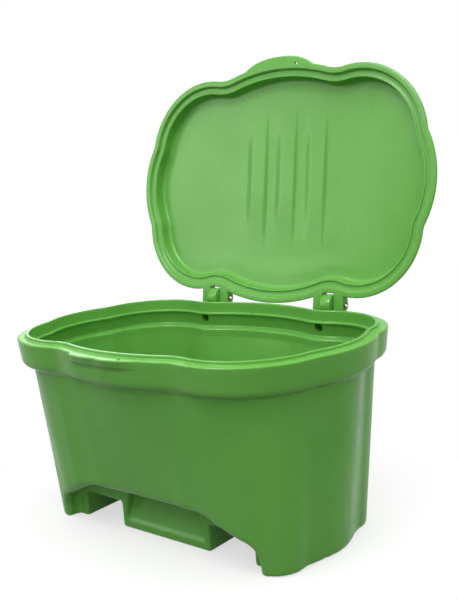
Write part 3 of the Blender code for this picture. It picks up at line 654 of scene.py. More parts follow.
def loft_tree():
    """Node tree that sweeps a profile round an outline and sets copies of the result in a row."""
    inputs = (
        ("Outline", "Object"),
        ("Profile", "Object"),
        ("Material", "Material"),
        ("Count", "Int"),
        ("Start", "Vector"),
        ("Step", "Vector"),
        ("Turn", "Rotation"),
        ("Fill From", "Float"),
        ("Fill To", "Float"),
    )
    t, source = geometry_tree("profile_round_outline", inputs)

    def curve_of(label):
        curve = t.add("GeometryNodeObjectInfo", {"Object": source[label]}).outputs["Geometry"]
        points = t.add("GeometryNodeAttributeDomainSize", {"Geometry": curve}, component="CURVE")
        return curve, points.outputs["Point Count"]

    def sampled(curve, index, value, kind="FLOAT"):
        inputs = {"Geometry": curve, "Index": index, "Value": value}
        return t.add("GeometryNodeSampleIndex", inputs, data_type=kind, domain="POINT").outputs["Value"]

    outline, around = curve_of("Outline")
    profile, along = curve_of("Profile")
    across = t.math("ADD", around, 1.0)
    grid = t.add("GeometryNodeMeshGrid", {"Vertices X": across, "Vertices Y": along})
    index = t.add("GeometryNodeInputIndex").outputs[0]
    column = t.math("FLOOR", t.math("DIVIDE", t.math("ADD", index, 0.5), along))
    row = t.math("SUBTRACT", index, t.math("MULTIPLY", column, along))
    column = t.math("MODULO", column, around)
    position = t.add("GeometryNodeInputPosition").outputs[0]
    radius = t.add("GeometryNodeInputRadius").outputs[0]
    tilt = t.add("GeometryNodeInputCurveTilt").outputs[0]
    tangent = t.add("GeometryNodeInputTangent").outputs[0]
    rim = t.split(sampled(outline, column, position, "FLOAT_VECTOR"))
    grip = sampled(outline, column, radius)
    along_rim = t.split(sampled(outline, column, tangent, "FLOAT_VECTOR"))
    outward = t.vector("NORMALIZE", t.join(X=along_rim["Y"], Y=t.math("MULTIPLY", along_rim["X"], -1.0)))
    place = t.split(sampled(profile, row, position, "FLOAT_VECTOR"))
    base = sampled(profile, row, tilt)
    spread = sampled(profile, row, radius)
    inset = t.math("ADD", place["X"], t.math("MULTIPLY", place["Z"], grip))
    inset = t.math("ADD", inset, t.math("MULTIPLY", base, rim["Z"]))
    filled = t.eased(place["Y"], source["Fill From"], source["Fill To"])
    inset = t.math("SUBTRACT", inset, t.math("MULTIPLY", filled, sampled(outline, column, tilt)))
    inward = t.add("ShaderNodeVectorMath", {0: outward, "Scale": inset}, operation="SCALE").outputs[0]
    ring = t.vector("SUBTRACT", t.join(X=rim["X"], Y=rim["Y"]), inward)
    ring = t.vector("MULTIPLY", ring, t.join(X=spread, Y=spread))
    ring = t.vector("ADD", ring, t.join(Z=place["Y"]))
    moved = t.add("GeometryNodeSetPosition", {"Geometry": grid.outputs["Mesh"], "Position": ring})
    closed = t.add("GeometryNodeMergeByDistance", {"Geometry": moved.outputs[0], "Distance": TINY})
    row_of = t.add(
        "GeometryNodeMeshLine",
        {"Count": source["Count"], "Start Location": source["Start"], "Offset": source["Step"]},
    )
    copies = t.add(
        "GeometryNodeInstanceOnPoints",
        {"Points": row_of.outputs[0], "Instance": closed.outputs[0], "Rotation": source["Turn"]},
    )
    return t.end(copies.outputs[0], source["Material"])


def rib_tree():
    """Node tree that presses evenly spaced ribs into a panel, deepest half way along."""
    sizes = [(label, "Float") for label in RIB_SIZES]
    inputs = [("Geometry", "Geometry"), *sizes, ("Material", "Material")]
    t, source = geometry_tree("pressed_ribs", inputs)
    place = t.split(t.add("GeometryNodeInputPosition").outputs[0])
    half_pitch = t.math("MULTIPLY", source["Pitch"], 0.5)
    beside = t.math("SUBTRACT", place["X"], source["Shift"])
    wrapped = t.math("WRAP", beside, half_pitch, t.math("MULTIPLY", half_pitch, -1.0))
    half_crest = t.math("MULTIPLY", source["Crest"], 0.5)
    leftwards = t.math("MULTIPLY", wrapped, -1.0)
    left = t.eased(leftwards, t.math("ADD", half_crest, source["Left Flank"]), half_crest)
    right = t.eased(wrapped, t.math("ADD", half_crest, source["Right Flank"]), half_crest)
    reach = t.math("MULTIPLY", source["Pitch"], RIB_COUNT / 2)
    counted = t.math("LESS_THAN", t.math("ABSOLUTE", beside), reach)
    across = t.math("MULTIPLY", t.math("MULTIPLY", left, right), counted)
    risen = t.eased(place["Y"], source["Front"], t.math("ADD", source["Front"], source["Rise"]))
    fallen = t.eased(place["Y"], source["Back"], t.math("SUBTRACT", source["Back"], source["Fall"]))
    along = t.math("MULTIPLY", t.math("MULTIPLY", risen, fallen), source["Depth"])
    down = t.math("MULTIPLY", t.math("MULTIPLY", across, along), -1.0)
    moved = t.add("GeometryNodeSetPosition", {"Geometry": source["Geometry"], "Offset": t.join(Z=down)})
    return t.end(moved.outputs[0], source["Material"])


def run_tree(thing, tree, values):
    """Adds a tree to an object as a modifier and sets its inputs before it is evaluated."""
    modifier = thing.modifiers.new(tree.name, "NODES")
    modifier.node_group = tree
    for item in tree.interface.items_tree:
        if item.in_out == "INPUT" and item.name in values:
            modifier[item.identifier] = values[item.name]


def bake(thing):
    """Turns an object's modifiers into a plain mesh."""
    graph = bpy.context.evaluated_depsgraph_get()
    mesh = bpy.data.meshes.new_from_object(thing.evaluated_get(graph))
    thing.modifiers.clear()
    thing.data = mesh
    mesh.name = thing.name
    return thing


def discard(*things):
    for thing in things:
        bpy.data.objects.remove(thing, do_unlink=True)


def swept(name, outline, profile, material, row=None, fill=NO_FILL):
    """A piece swept round an outline, as a plain mesh; row gives copies as (start, step, turn)."""
    thing = add_object(name, bpy.data.meshes.new(name))
    start, step, turn = row or [(0.0, 0.0, 0.0)] * 3
    values = {
        "Outline": outline,
        "Profile": profile,
        "Material": material,
        "Count": 2 if row else 1,
        "Start": start,
        "Step": step,
        "Turn": turn,
        "Fill From": fill[0],
        "Fill To": fill[1],
    }
    run_tree(thing, loft_tree(), values)
    bake(thing)
    discard(outline, profile)
    return thing


def combine(thing, operation, tool):
    """Applies one exact Boolean and removes its tool."""
    modifier = thing.modifiers.new(operation, "BOOLEAN")
    modifier.operation = operation
    modifier.solver = "EXACT"
    modifier.object = tool
    bake(thing)
    discard(tool)


def from_bmesh(name, bm, material=None):
    mesh = bpy.data.meshes.new(name)
    bm.to_mesh(mesh)
    bm.free()
    if material:
        mesh.materials.append(material)
    return add_object(name, mesh)


def plates(name, outline, spans, edge, material=None, segments=2):
    """Flat pieces with one outline in Y and Z between places along X, with bevelled edges."""
    bm = bmesh.new()
    for left, right in spans:
        sides = [[bm.verts.new((x, y, z)) for y, z in outline] for x in (left, right)]
        total = len(outline)
        for i in range(total):
            bm.faces.new((sides[0][i - 1], sides[0][i], sides[1][i], sides[1][i - 1]))
        bm.faces.new(reversed(sides[0]))
        bm.faces.new(sides[1])
    bmesh.ops.recalc_face_normals(bm, faces=bm.faces)
    if edge:
        sharp = [e for e in bm.edges if e.calc_face_angle() > BEVEL_ANGLE]
        bmesh.ops.bevel(
            bm, geom=sharp, offset=edge, segments=segments, affect="EDGES", profile=0.5, clamp_overlap=True
        )
    return from_bmesh(name, bm, material)


def hand_over(thing, body, slot, *nodes):
    """Smooths a finished piece, hangs it on its body's empty and hides the imported parts it stands for."""
    thing.data.shade_smooth()
    thing.data.set_sharp_from_angle(angle=SMOOTH_ANGLE)
    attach(thing, body)
    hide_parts(*nodes)


def round_max(first, second, radius):
    """The larger of two distances, with a round where they meet."""
    corner = np.hypot(np.maximum(first + radius, 0.0), np.maximum(second + radius, 0.0))
    return np.minimum(np.maximum(first, second), -radius) + corner


def waist_height(tub):
    return tub.rim_height - tub.band_height - tub.step_drop - tub.waist_round


def base_share(tub, base, height):
    """One at the sole and zero at the waist."""
    waist = waist_height(tub)
    return (waist - height) / (waist - base.sole_round)


def waist_inset(tub):
    return tub.band_draft + tub.step_in


def arch_distance(base, x, z):
    """Distance to the arched outline of a recess, negative inside it."""
    side = np.abs(x) - base.recess_foot_half
    run = base.recess_foot_half - base.recess_top_half
    rise = base.recess_height - base.recess_foot_rise
    length = math.hypot(run, rise)
    slope = ((np.abs(x) - base.recess_foot_half) * rise + (z - base.recess_foot_rise) * run) / length
    arch = round_max(side, slope, base.recess_foot_round)
    return round_max(arch, z - base.recess_height, base.recess_top_round)


def panel_distance(base, x, y, z):
    """Distance to the leaning panel's hollow, negative inside it."""
    height = base.panel_top - base.panel_sill
    up = (z - base.panel_sill) / height
    half = base.channel_inner - base.panel_jamb - base.panel_taper * up
    back = base.panel_set + base.panel_lean * up
    lean = (y + base.recess_plane - back) / math.hypot(1.0, base.panel_lean / height)
    across = round_max(np.abs(x) - half, lean, base.panel_round)
    level = np.abs(z - (base.panel_sill + base.panel_top) / 2) - height / 2
    return round_max(across, level, base.panel_round)


def base_distance(settings, points):
    """Distance to the outside of the tub's lower part, negative inside it."""
    plan, tub, base = settings.grit_plan, settings.grit_tub, settings.grit_base
    x, y, z = points.T
    inset, rim = rim_inset(plan, points[:, :2])
    low = base_share(tub, base, z)
    wanted = waist_inset(tub) + low * (tub.base_inset + base_extra(tub, rim) - waist_inset(tub))
    body = wanted - body_fill(settings, rim) - inset
    middle = (base.channel_inner + base.channel_outer) / 2
    half = (base.channel_outer - base.channel_inner) / 2
    arch = arch_distance(base, x, z)
    recess = round_max(arch, base.recess_plane - np.abs(y), base.recess_hollow)
    channel = round_max(
        np.abs(np.abs(x) - middle) - half, z - base.channel_height, base.channel_round
    )
    body = round_max(body, -recess, base.recess_edge)
    body = round_max(body, -channel, base.channel_edge)
    body = round_max(body, -panel_distance(base, x, y, z), base.panel_edge)
    return round_max(body, -z, base.sole_round)


def surface_net(values):
    """Vertices and quads where sampled values change sign, in cells, facing the positive side."""
    cells = np.array(values.shape) - 1
    total = np.zeros((*cells, 3))
    crossings = np.zeros(cells)
    found = []
    for axis in range(3):
        low = np.take(values, range(values.shape[axis] - 1), axis)
        high = np.take(values, range(1, values.shape[axis]), axis)
        cross = (low < 0) != (high < 0)
        at = np.argwhere(cross)
        share_along = (low / np.where(cross, low - high, 1.0))[cross]
        points = at.astype(float)
        points[:, axis] += share_along
        one, two = (axis + 1) % 3, (axis + 2) % 3
        inner = np.all((at[:, [one, two]] > 0) & (at[:, [one, two]] < cells[[one, two]]), axis=1)
        corners = []
        for a, b in ((1, 1), (0, 1), (0, 0), (1, 0)):
            cell = at.copy()
            cell[:, one] -= a
            cell[:, two] -= b
            real = np.all((cell >= 0) & (cell < cells), axis=1)
            np.add.at(total, tuple(cell[real].T), points[real])
            np.add.at(crossings, tuple(cell[real].T), 1)
            corners.append(cell[inner])
        rising = (low < 0)[cross][inner]
        found.append((np.stack(corners, 1), rising))
    used = crossings > 0
    number = np.full(cells, -1)
    number[used] = np.arange(used.sum())
    vertices = total[used] / crossings[used][:, None]
    quads = []
    for corners, rising in found:
        ids = number[tuple(np.moveaxis(corners, -1, 0))]
        quads.append(np.where(rising[:, None], ids, ids[:, ::-1]))
    return vertices, np.concatenate(quads)


def settle(settings, points, depth):
    """Moves points along the slope of the distance until they lie at that depth."""
    for _ in range(SETTLE_ROUNDS):
        here = base_distance(settings, points)
        slope = np.zeros_like(points)
        for axis in range(3):
            ahead = points.copy()
            ahead[:, axis] += NUDGE
            slope[:, axis] = (base_distance(settings, ahead) - here) / NUDGE
        steep = np.maximum((slope ** 2).sum(1), LEAST_SLOPE)
        points = points - slope * ((here + depth) / steep)[:, None]
    return points


def relax(points, quads):
    """Moves each point half way to the middle of its neighbours."""
    total = np.zeros_like(points)
    shared = np.zeros(len(points))
    for i in range(4):
        for step in (1, 3):
            np.add.at(total, quads[:, i], points[quads[:, (i + step) % 4]])
            np.add.at(shared, quads[:, i], 1)
    return (points + total / np.maximum(shared, 1)[:, None]) / 2


def base_shell(settings, depth):
    """The lower part of the tub as a mesh at some depth under its outside, cut off at the join."""
    base, join = settings.grit_base, settings.grit_tub.join_height
    low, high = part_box("tub")
    margin = 2 * base.cell
    start = np.array([low.x - margin, low.y - margin, low.z - margin])
    stop = np.array([high.x + margin, high.y + margin, join + margin])
    axes = [np.arange(a, b, base.cell) for a, b in zip(start, stop)]
    places = np.stack(np.meshgrid(*axes, indexing="ij"), -1)
    values = base_distance(settings, places.reshape(-1, 3)).reshape(places.shape[:3])
    points, quads = surface_net(values + depth)
    points = settle(settings, start + points * base.cell, depth)
    for _ in range(base.smoothing):
        below = points[:, 2] < join
        points[below] = relax(points, quads)[below]
        points = settle(settings, points, depth)
    bm = bmesh.new()
    verts = [bm.verts.new(point) for point in points]
    for quad in quads:
        bm.faces.new([verts[i] for i in (quad[::-1] if depth else quad)])
    everything = bm.verts[:] + bm.edges[:] + bm.faces[:]
    bmesh.ops.bisect_plane(
        bm, geom=everything, dist=SLACK, plane_co=(0, 0, join), plane_no=(0, 0, 1), clear_outer=True
    )
    return bm


def tub_profile(settings):
    """The tub's wall from the join up the outside, over the rim and down the inside."""
    tub, base = settings.grit_tub, settings.grit_base
    lip_out = tub.upstand_inset + tub.upstand_width
    lip_in = lip_out + tub.lip_reach
    lip_top = tub.rim_height - tub.lip_drop
    lip_low = lip_top - tub.lip_thick
    upstand_top = tub.rim_height + tub.upstand_height
    scoop_low = tub.rim_height - tub.grip_depth
    under_lip = tub.rim_height - tub.grip_lip
    scoop_top = under_lip - tub.rim_edge / 2
    band_bottom = tub.rim_height - tub.band_height
    step_low = band_bottom - tub.step_drop
    inner = waist_inset(tub) + tub.wall
    inner_low = tub.rim_height - tub.inner_drop
    bottom = tub.join_height + base.cell
    low = base_share(tub, base, bottom)
    foot = waist_inset(tub) + low * (tub.base_inset - waist_inset(tub))
    soft = tub.upstand_round
    fine = soft / 2

    def draft(height):
        return tub.band_draft * (tub.rim_height - height) / tub.band_height

    bends = [
        bend(foot, bottom, low=low),
        bend(waist_inset(tub), waist_height(tub)),
        bend(waist_inset(tub), step_low, tub.waist_round),
        bend(tub.band_draft, band_bottom, tub.band_edge),
        bend(draft(scoop_low), scoop_low, tub.rim_edge),
        bend(draft(scoop_top), scoop_top, fine, tub.grip_scoop),
        bend(draft(under_lip), under_lip, soft, -tub.grip_undercut * tub.grip_reach),
        bend(0.0, tub.rim_height, tub.rim_edge, -tub.grip_reach),
        bend(tub.upstand_inset, tub.rim_height, soft),
        bend(tub.upstand_inset, upstand_top, soft),
        bend(lip_out, upstand_top, soft),
        bend(lip_out, lip_top, fine),
        bend(lip_in, lip_top, fine),
        bend(lip_in, lip_low, fine),
        bend(lip_in - tub.inner_set, lip_low, fine),
        bend(inner - tub.inner_step, inner_low, tub.inner_ease),
        bend(inner, inner_low - tub.inner_fall, tub.inner_ease),
        bend(inner, waist_height(tub)),
        bend(foot + tub.wall, bottom, low=low),
        bend(foot, bottom, low=low),
    ]
    return profile_curve("tub_profile", bends)


def boss_face(settings):
    """The flat face behind the band that the heels of the open ears rest on."""
    hinge = settings.grit_hinge
    drop = HINGE_AXIS.z - lid_base(settings)
    heel = hinge.ear_heel * math.cos(OPEN_ANGLE) - drop * math.sin(OPEN_ANGLE)
    return HINGE_AXIS.y + heel - hinge.clearance


def lid_base(settings):
    return settings.grit_tub.rim_height + settings.grit_lid.gap


def hinge_width(hinge):
    return hinge.tongue_width + 2 * (hinge.side_gap + hinge.ear_width)


def rim_prism(name, settings, low, high):
    """The rim's outline as a solid between two places, each an inset and a height."""
    outline = rim_curve(name + "_outline", settings)
    bends = [bend(*low, spread=0.0), bend(*low), bend(*high), bend(*high, spread=0.0)]
    return swept(name, outline, profile_curve(name + "_profile", bends), None)


def valley_spans(plan, half):
    """Where pieces of some half width lie along X, one in each back valley."""
    return [(side * plan.back_valley_x - half, side * plan.back_valley_x + half) for side in SIDES]


def hinge_arc(radius, start, end, steps):
    """Points in Y and Z on an arc round the hinge's axis."""
    angles = [start + (end - start) * i / steps for i in range(steps + 1)]
    return [(HINGE_AXIS.y + radius * math.cos(a), HINGE_AXIS.z + radius * math.sin(a)) for a in angles]


def drill(bm, radius, depth, place):
    """Adds a round cutter in the middle of a place and turned with it."""
    bmesh.ops.create_cone(
        bm, cap_ends=True, segments=ROUND_SIDES, radius1=radius, radius2=radius, depth=depth, matrix=place
    )


def hinge_bosses(settings):
    """Flat-faced blocks in the back valleys, trimmed to the middle of the band's wall."""
    tub, hinge, plan = settings.grit_tub, settings.grit_hinge, settings.grit_plan
    half = hinge_width(hinge) / 2 + hinge.boss_margin
    low = tub.rim_height - tub.band_height + tub.band_edge
    high = tub.rim_height - hinge.boss_top_drop
    face = boss_face(settings)
    front = plan.back_valley_y - half
    outline = [(front, low), (face, low), (face, high), (front, high)]
    bosses = plates("hinge_bosses", outline, valley_spans(plan, half), 2 * hinge.edge, segments=3)
    core_low = (tub.band_draft + tub.wall / 2, tub.rim_height - tub.band_height)
    core_high = (tub.wall / 2, tub.rim_height)
    combine(bosses, "DIFFERENCE", rim_prism("boss_core", settings, core_low, core_high))
    return bosses


def tub_holes(settings):
    """Cutters for the washer pockets, the bolt holes and the padlock hole."""
    tub, hinge, plan = settings.grit_tub, settings.grit_hinge, settings.grit_plan
    face = boss_face(settings)
    seat = face - tub.wall
    start = plan.back_valley_y - waist_inset(tub) - 2 * tub.wall
    pocket = hinge.inner_washer_radius + hinge.seat_margin
    bolt = hinge.bolt_radius + hinge.clearance
    bm = bmesh.new()

    def turned(steps, place, turn):
        rings = []
        for radius, height in steps:
            ring = []
            for i in range(ROUND_SIDES):
                angle = 2 * math.pi * i / ROUND_SIDES
                spot = Vector((radius * math.cos(angle), radius * math.sin(angle), height))
                ring.append(bm.verts.new(Vector(place) + turn @ spot))
            rings.append(ring)
        for one, two in zip(rings, rings[1:]):
            for i in range(ROUND_SIDES):
                bm.faces.new((one[i - 1], one[i], two[i], two[i - 1]))
        bm.faces.new(reversed(rings[0]))
        bm.faces.new(rings[-1])

    towards_back = Matrix.Rotation(-math.pi / 2, 3, "X")
    for sign in SIDES:
        place = (sign * plan.back_valley_x, 0.0, tub.rim_height - hinge.bolt_drop)
        steps = [(pocket, start), (pocket, seat), (bolt, seat), (bolt, face + tub.wall)]
        turned(steps, place, towards_back)
    place = (tub.padlock_x, -tub.padlock_y, tub.rim_height)
    reach = tub.band_height / 4
    turned([(tub.padlock_hole / 2, -reach), (tub.padlock_hole / 2, reach)], place, Matrix.Identity(3))
    bmesh.ops.recalc_face_normals(bm, faces=bm.faces)
    return from_bmesh("tub_holes", bm)


def join_base(settings, wall):
    """Joins the modelled base to the swept wall, outside and inside."""
    tub, base, plan = settings.grit_tub, settings.grit_base, settings.grit_plan
    bottom = tub.join_height + base.cell
    bm = bmesh.new()
    bm.from_mesh(wall.data)
    floor = [f for f in bm.faces if all(abs(v.co.z - bottom) < TINY for v in f.verts)]
    bmesh.ops.delete(bm, geom=floor, context="FACES_ONLY")
    for depth in (0.0, tub.wall):
        shell = base_shell(settings, depth)
        mesh = bpy.data.meshes.new("base_shell")
        shell.to_mesh(mesh)
        shell.free()
        bm.from_mesh(mesh)
        bpy.data.meshes.remove(mesh)
    for face in bm.faces:
        face.material_index = 0
    loops = {False: [], True: []}
    for edge in bm.edges:
        if edge.is_boundary:
            middle = (edge.verts[0].co + edge.verts[1].co) / 2
            inset, rim = rim_inset(plan, np.array([[middle.x, middle.y]]))
            low = base_share(tub, base, middle.z)
            foot = tub.base_inset + base_extra(tub, rim)[0] - waist_inset(tub)
            outside = waist_inset(tub) + low * foot - body_fill(settings, rim)[0]
            inside = inset[0] > outside + tub.wall / 2
            loops[bool(inside)].append(edge)
    for edges in loops.values():
        bmesh.ops.bridge_loops(bm, edges=edges)
    bmesh.ops.recalc_face_normals(bm, faces=bm.faces)
    bm.to_mesh(wall.data)
    bm.free()


def lid_profile(settings):
    """The closed lid from the middle of its panel out to the flange and back over the dome."""
    tub, lid = settings.grit_tub, settings.grit_lid
    bead_out = tub.upstand_inset + tub.upstand_width + lid.bead_gap
    bead_in = bead_out + lid.bead_width
    dome_in = bead_in + lid.wall_lean
    over_round = lid.dome_round + lid.wall
    panel_in = dome_in + 2 * over_round
    shoulder = lid.groove_height + lid.wall
    soft = lid.edge_round
    edge = lid.rim_thick * FULL_ROUND
    tip = lid.bead_width * FULL_ROUND
    level = lid_base(settings)
    under_panel, over_panel = (height - level for height in panel_edges(settings))

    def at(inset, height, cut=0.0, grip=0.0):
        return bend(inset, level + height, cut, grip)

    reach = -lid.grip_reach
    bends = [
        at(panel_in, under_panel),
        at(dome_in, under_panel, lid.dome_round),
        at(bead_in, lid.bead_set, tip),
        at(bead_out, lid.bead_set, tip),
        at(bead_out, lid.groove_height, soft),
        at(lid.flange + soft, lid.groove_height, soft),
        at(lid.flange, 0.0, soft),
        at(0.0, 0.0, edge, reach),
        at(0.0, lid.rim_thick, edge, reach),
        at(lid.flange - lid.wall, lid.rim_thick, soft),
        at(lid.flange - lid.wall + soft / 2, shoulder, soft),
        at(bead_in - lid.wall, shoulder + soft / 2, lid.wall),
        at(dome_in - lid.wall, over_panel, over_round),
        at(panel_in, over_panel),
    ]
    return profile_curve("lid_profile", bends)


def panel_edges(settings):
    """Heights of the panel's edge, under and over it."""
    lid = settings.grit_lid
    under = lid_base(settings) + lid.depth - lid.crown
    return under, under + lid.wall


def rib_lines(lid, total):
    """Places across the panel, closest together on the flanks of the ribs."""
    places = np.linspace(-lid.grid_half, lid.grid_half, RIB_SAMPLES)
    beside = places - lid.rib_shift
    wrapped = (beside + lid.rib_pitch / 2) % lid.rib_pitch - lid.rib_pitch / 2
    flank = np.where(wrapped < 0, lid.rib_left_flank, lid.rib_right_flank)
    beyond = (np.abs(wrapped) - lid.rib_crest / 2) / flank
    on_flank = (beyond > -FLANK_MARGIN) & (beyond < 1 + FLANK_MARGIN)
    crowding = np.cumsum(np.where(on_flank, lid.rib_left_flank / flank + 1, 1.0))
    return np.interp(np.linspace(crowding[0], crowding[-1], total + 1), crowding, places)


def add_panel(bm, settings, edge_height):
    """Fills the lid's open edge at a height with a crowned panel whose mesh follows the ribs."""
    lid = settings.grit_lid
    rim = {v for e in bm.edges if e.is_boundary for v in e.verts if abs(v.co.z - edge_height) < TINY}
    rim = sorted(rim, key=lambda vert: angle_of(vert.co))
    total = len(rim)
    corners = [
        angle_of((side * lid.grid_half, y))
        for side, y in ((-1, lid.grid_front), (1, lid.grid_front), (1, lid.grid_back), (-1, lid.grid_back))
    ]
    front = sum(corners[0] <= angle_of(vert.co) < corners[1] for vert in rim)
    back = sum(corners[2] <= angle_of(vert.co) < corners[3] for vert in rim)
    across = (front + back) // 2
    along = total // 2 - across
    first = min(range(total), key=lambda i: abs(angle_of(rim[i].co) - corners[0]))
    rim = rim[first:] + rim[:first]
    xs = rib_lines(lid, across)
    ys = np.linspace(lid.grid_front, lid.grid_back, along + 1)
    around = [(i, 0) for i in range(across)] + [(across, j) for j in range(along)]
    around += [(i, along) for i in range(across, 0, -1)] + [(0, j) for j in range(along, 0, -1)]
    wide = max(vert.co.x for vert in rim)
    deep = max(abs(vert.co.y) for vert in rim)

    def fall(x, y):
        return (x / wide) ** 2 + (y / deep) ** 2

    def height(share_of_crown):
        return edge_height + lid.crown * (1 - share_of_crown)

    ring = rim
    for step in range(1, lid.grid_rings):
        share_in = step / lid.grid_rings
        ease = smooth_step(share_in)
        fresh = []
        for vert, (i, j) in zip(rim, around):
            x = vert.co.x + (xs[i] - vert.co.x) * share_in
            y = vert.co.y + (ys[j] - vert.co.y) * share_in
            fresh.append(bm.verts.new((x, y, height(1 + (fall(xs[i], ys[j]) - 1) * ease))))
        for k in range(total):
            bm.faces.new((ring[k - 1], ring[k], fresh[k], fresh[k - 1]))
        ring = fresh
    grid = [[bm.verts.new((x, y, height(fall(x, y)))) for y in ys] for x in xs]
    edge = [grid[i][j] for i, j in around]
    for k in range(total):
        bm.faces.new((ring[k - 1], ring[k], edge[k], edge[k - 1]))
    for one, two in zip(grid, grid[1:]):
        for j in range(along):
            bm.faces.new((one[j], two[j], two[j + 1], one[j + 1]))


def ear_outline(settings):
    """Side view of a closed ear: root in the flange, heel stop and round back."""
    hinge, lid, plan = settings.grit_hinge, settings.grit_lid, settings.grit_plan
    level = lid_base(settings)
    root = plan.back_valley_y - hinge.ear_root
    heel = HINGE_AXIS.y + hinge.ear_heel
    outline = [(root, level), (heel, level), (heel, (level + HINGE_AXIS.z) / 2)]
    outline += hinge_arc(hinge.ear_radius, *EAR_BACK, EAR_STEPS)
    outline.append((root, level + lid.groove_height + lid.wall))
    return outline


def lid_ears(settings):
    """Two ears at each hinge, trimmed so that they stay out of the lid's groove."""
    hinge, lid, plan = settings.grit_hinge, settings.grit_lid, settings.grit_plan
    offset = (hinge.tongue_width + hinge.ear_width) / 2 + hinge.side_gap
    spans = []
    for sign in SIDES:
        for step in SIDES:
            centre = sign * plan.back_valley_x + step * offset
            spans.append((centre - hinge.ear_width / 2, centre + hinge.ear_width / 2))
    ears = plates("lid_ears", ear_outline(settings), spans, hinge.edge)
    top = lid_base(settings) + lid.groove_height + lid.wall / 2
    inset = lid.flange - lid.wall / 2
    plug = rim_prism("ear_plug", settings, (inset, 0.0), (inset, top))
    combine(ears, "DIFFERENCE", plug)
    return ears


def lid_holes(settings):
    """Cutters for the pins and the padlock."""
    tub, hinge = settings.grit_tub, settings.grit_hinge
    bm = bmesh.new()
    drill(bm, hinge.pin_radius + hinge.clearance, PIN_CUT, ALONG_HINGE)
    padlock = Matrix.Translation((tub.padlock_x, -tub.padlock_y, tub.rim_height))
    drill(bm, tub.padlock_hole / 2, tub.band_height / 2, padlock)
    return from_bmesh("lid_holes", bm)


def tongue_outline(settings):
    """Side view of a tongue: a plate on the boss, and a knuckle that sits on it."""
    hinge, tub = settings.grit_hinge, settings.grit_tub
    front = boss_face(settings) + hinge.clearance
    back = front + hinge.tongue_plate
    low = tub.rim_height - hinge.tongue_length
    waist = tub.rim_height - hinge.bolt_drop + hinge.outer_washer_radius + hinge.seat_margin
    ledge = tub.rim_height - hinge.boss_top_drop + hinge.clearance
    meet = math.pi - math.asin((ledge - HINGE_AXIS.z) / hinge.tongue_radius)
    knuckle = hinge_arc(hinge.tongue_radius, meet, KNUCKLE_END, KNUCKLE_STEPS)
    return [(back, low), (front, low), (front, ledge), *knuckle, (back, waist)]


def tongue_holes(settings):
    """Cutters for the pins and the bolts."""
    hinge, tub, plan = settings.grit_hinge, settings.grit_tub, settings.grit_plan
    bm = bmesh.new()
    drill(bm, hinge.pin_radius + hinge.clearance, PIN_CUT, ALONG_HINGE)
    for sign in SIDES:
        place = (sign * plan.back_valley_x, boss_face(settings), tub.rim_height - hinge.bolt_drop)
        turn = Matrix.Translation(place) @ Matrix.Rotation(math.pi / 2, 4, "X")
        drill(bm, hinge.bolt_radius + hinge.clearance, 4 * hinge.tongue_plate, turn)
    return from_bmesh("tongue_holes", bm)


def pair_places(node, axis):
    """Low end of the left one of a pair of nodes, the step to the right one, and their length."""
    low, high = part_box(node + "_left")
    other_low, other_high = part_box(node + "_right")
    middle = (low + high) / 2
    start = middle.copy()
    start[axis] = low[axis]
    return start, (other_low + other_high) / 2 - middle, high[axis] - low[axis]


def ring_steps(bore, radius, thick, edge):
    """Steps of a flat ring with eased outer edges."""
    start = (bore, 0.0, 0.0)
    return [start, (radius, 0.0, edge), (radius, thick, edge), (bore, thick, 0.0), start]


def turned_pair(name, node, axis, steps, material, sides=ROUND_SIDES):
    """Two like pieces, turned from (radius, height, cut) steps, in the place of a pair of nodes."""
    start, step, _ = pair_places(node, axis)
    widest = max(radius for radius, _, _ in steps)
    bends = [bend(widest - radius, height, cut) for radius, height, cut in steps]
    if steps[0] != steps[-1]:
        bends = [bend(widest, steps[0][1]), *bends, bend(widest, steps[-1][1])]
    outline = round_curve(name + "_outline", widest, sides)
    profile = profile_curve(name + "_profile", bends, TURNED_EASE_STEPS, guard=widest)
    return swept(name, outline, profile, material, (start, step, TURNS[axis]))


def shader_tree(name, roughness, metallic=0.0):
    """A material with its principled shader, and object coordinates to feed its patterns."""
    material = bpy.data.materials.new(name)
    material.use_nodes = True
    tree = Tree(material.node_tree)
    shader = material.node_tree.nodes["Principled BSDF"]
    shader.inputs["Roughness"].default_value = roughness
    shader.inputs["Metallic"].default_value = metallic
    place = tree.add("ShaderNodeTexCoord").outputs["Object"]
    return material, tree, shader, place


def noise(tree, place, scale, detail=2.0):
    node = tree.add("ShaderNodeTexNoise", {"Vector": place, "Scale": scale, "Detail": detail})
    return node.outputs["Fac"]


def mapped(tree, value, low, high, start=0.3, end=0.7):
    node = tree.add(
        "ShaderNodeMapRange",
        {"Value": value, "From Min": start, "From Max": end, "To Min": low, "To Max": high},
    )
    return node.outputs[0]


def bumped(tree, shader, place, *layers):
    """Stacks bumps made from noise on a shader."""
    normal = None
    for scale, strength, distance in layers:
        relief = {"Height": noise(tree, place, scale), "Strength": strength, "Distance": distance}
        bump = tree.add("ShaderNodeBump", relief)
        if normal:
            tree.feed(bump.inputs["Normal"], normal)
        normal = bump.outputs["Normal"]
    tree.feed(shader.inputs["Normal"], normal)


def blended(tree, factor, first, second):
    node = tree.add("ShaderNodeMix", {0: factor, 6: first, 7: second}, data_type="RGBA")
    return node.outputs[2]


def opaque(rgb, factor=1.0):
    """A colour, or a darker or lighter shade of it, with full alpha."""
    return (*(value * factor for value in rgb), 1.0)


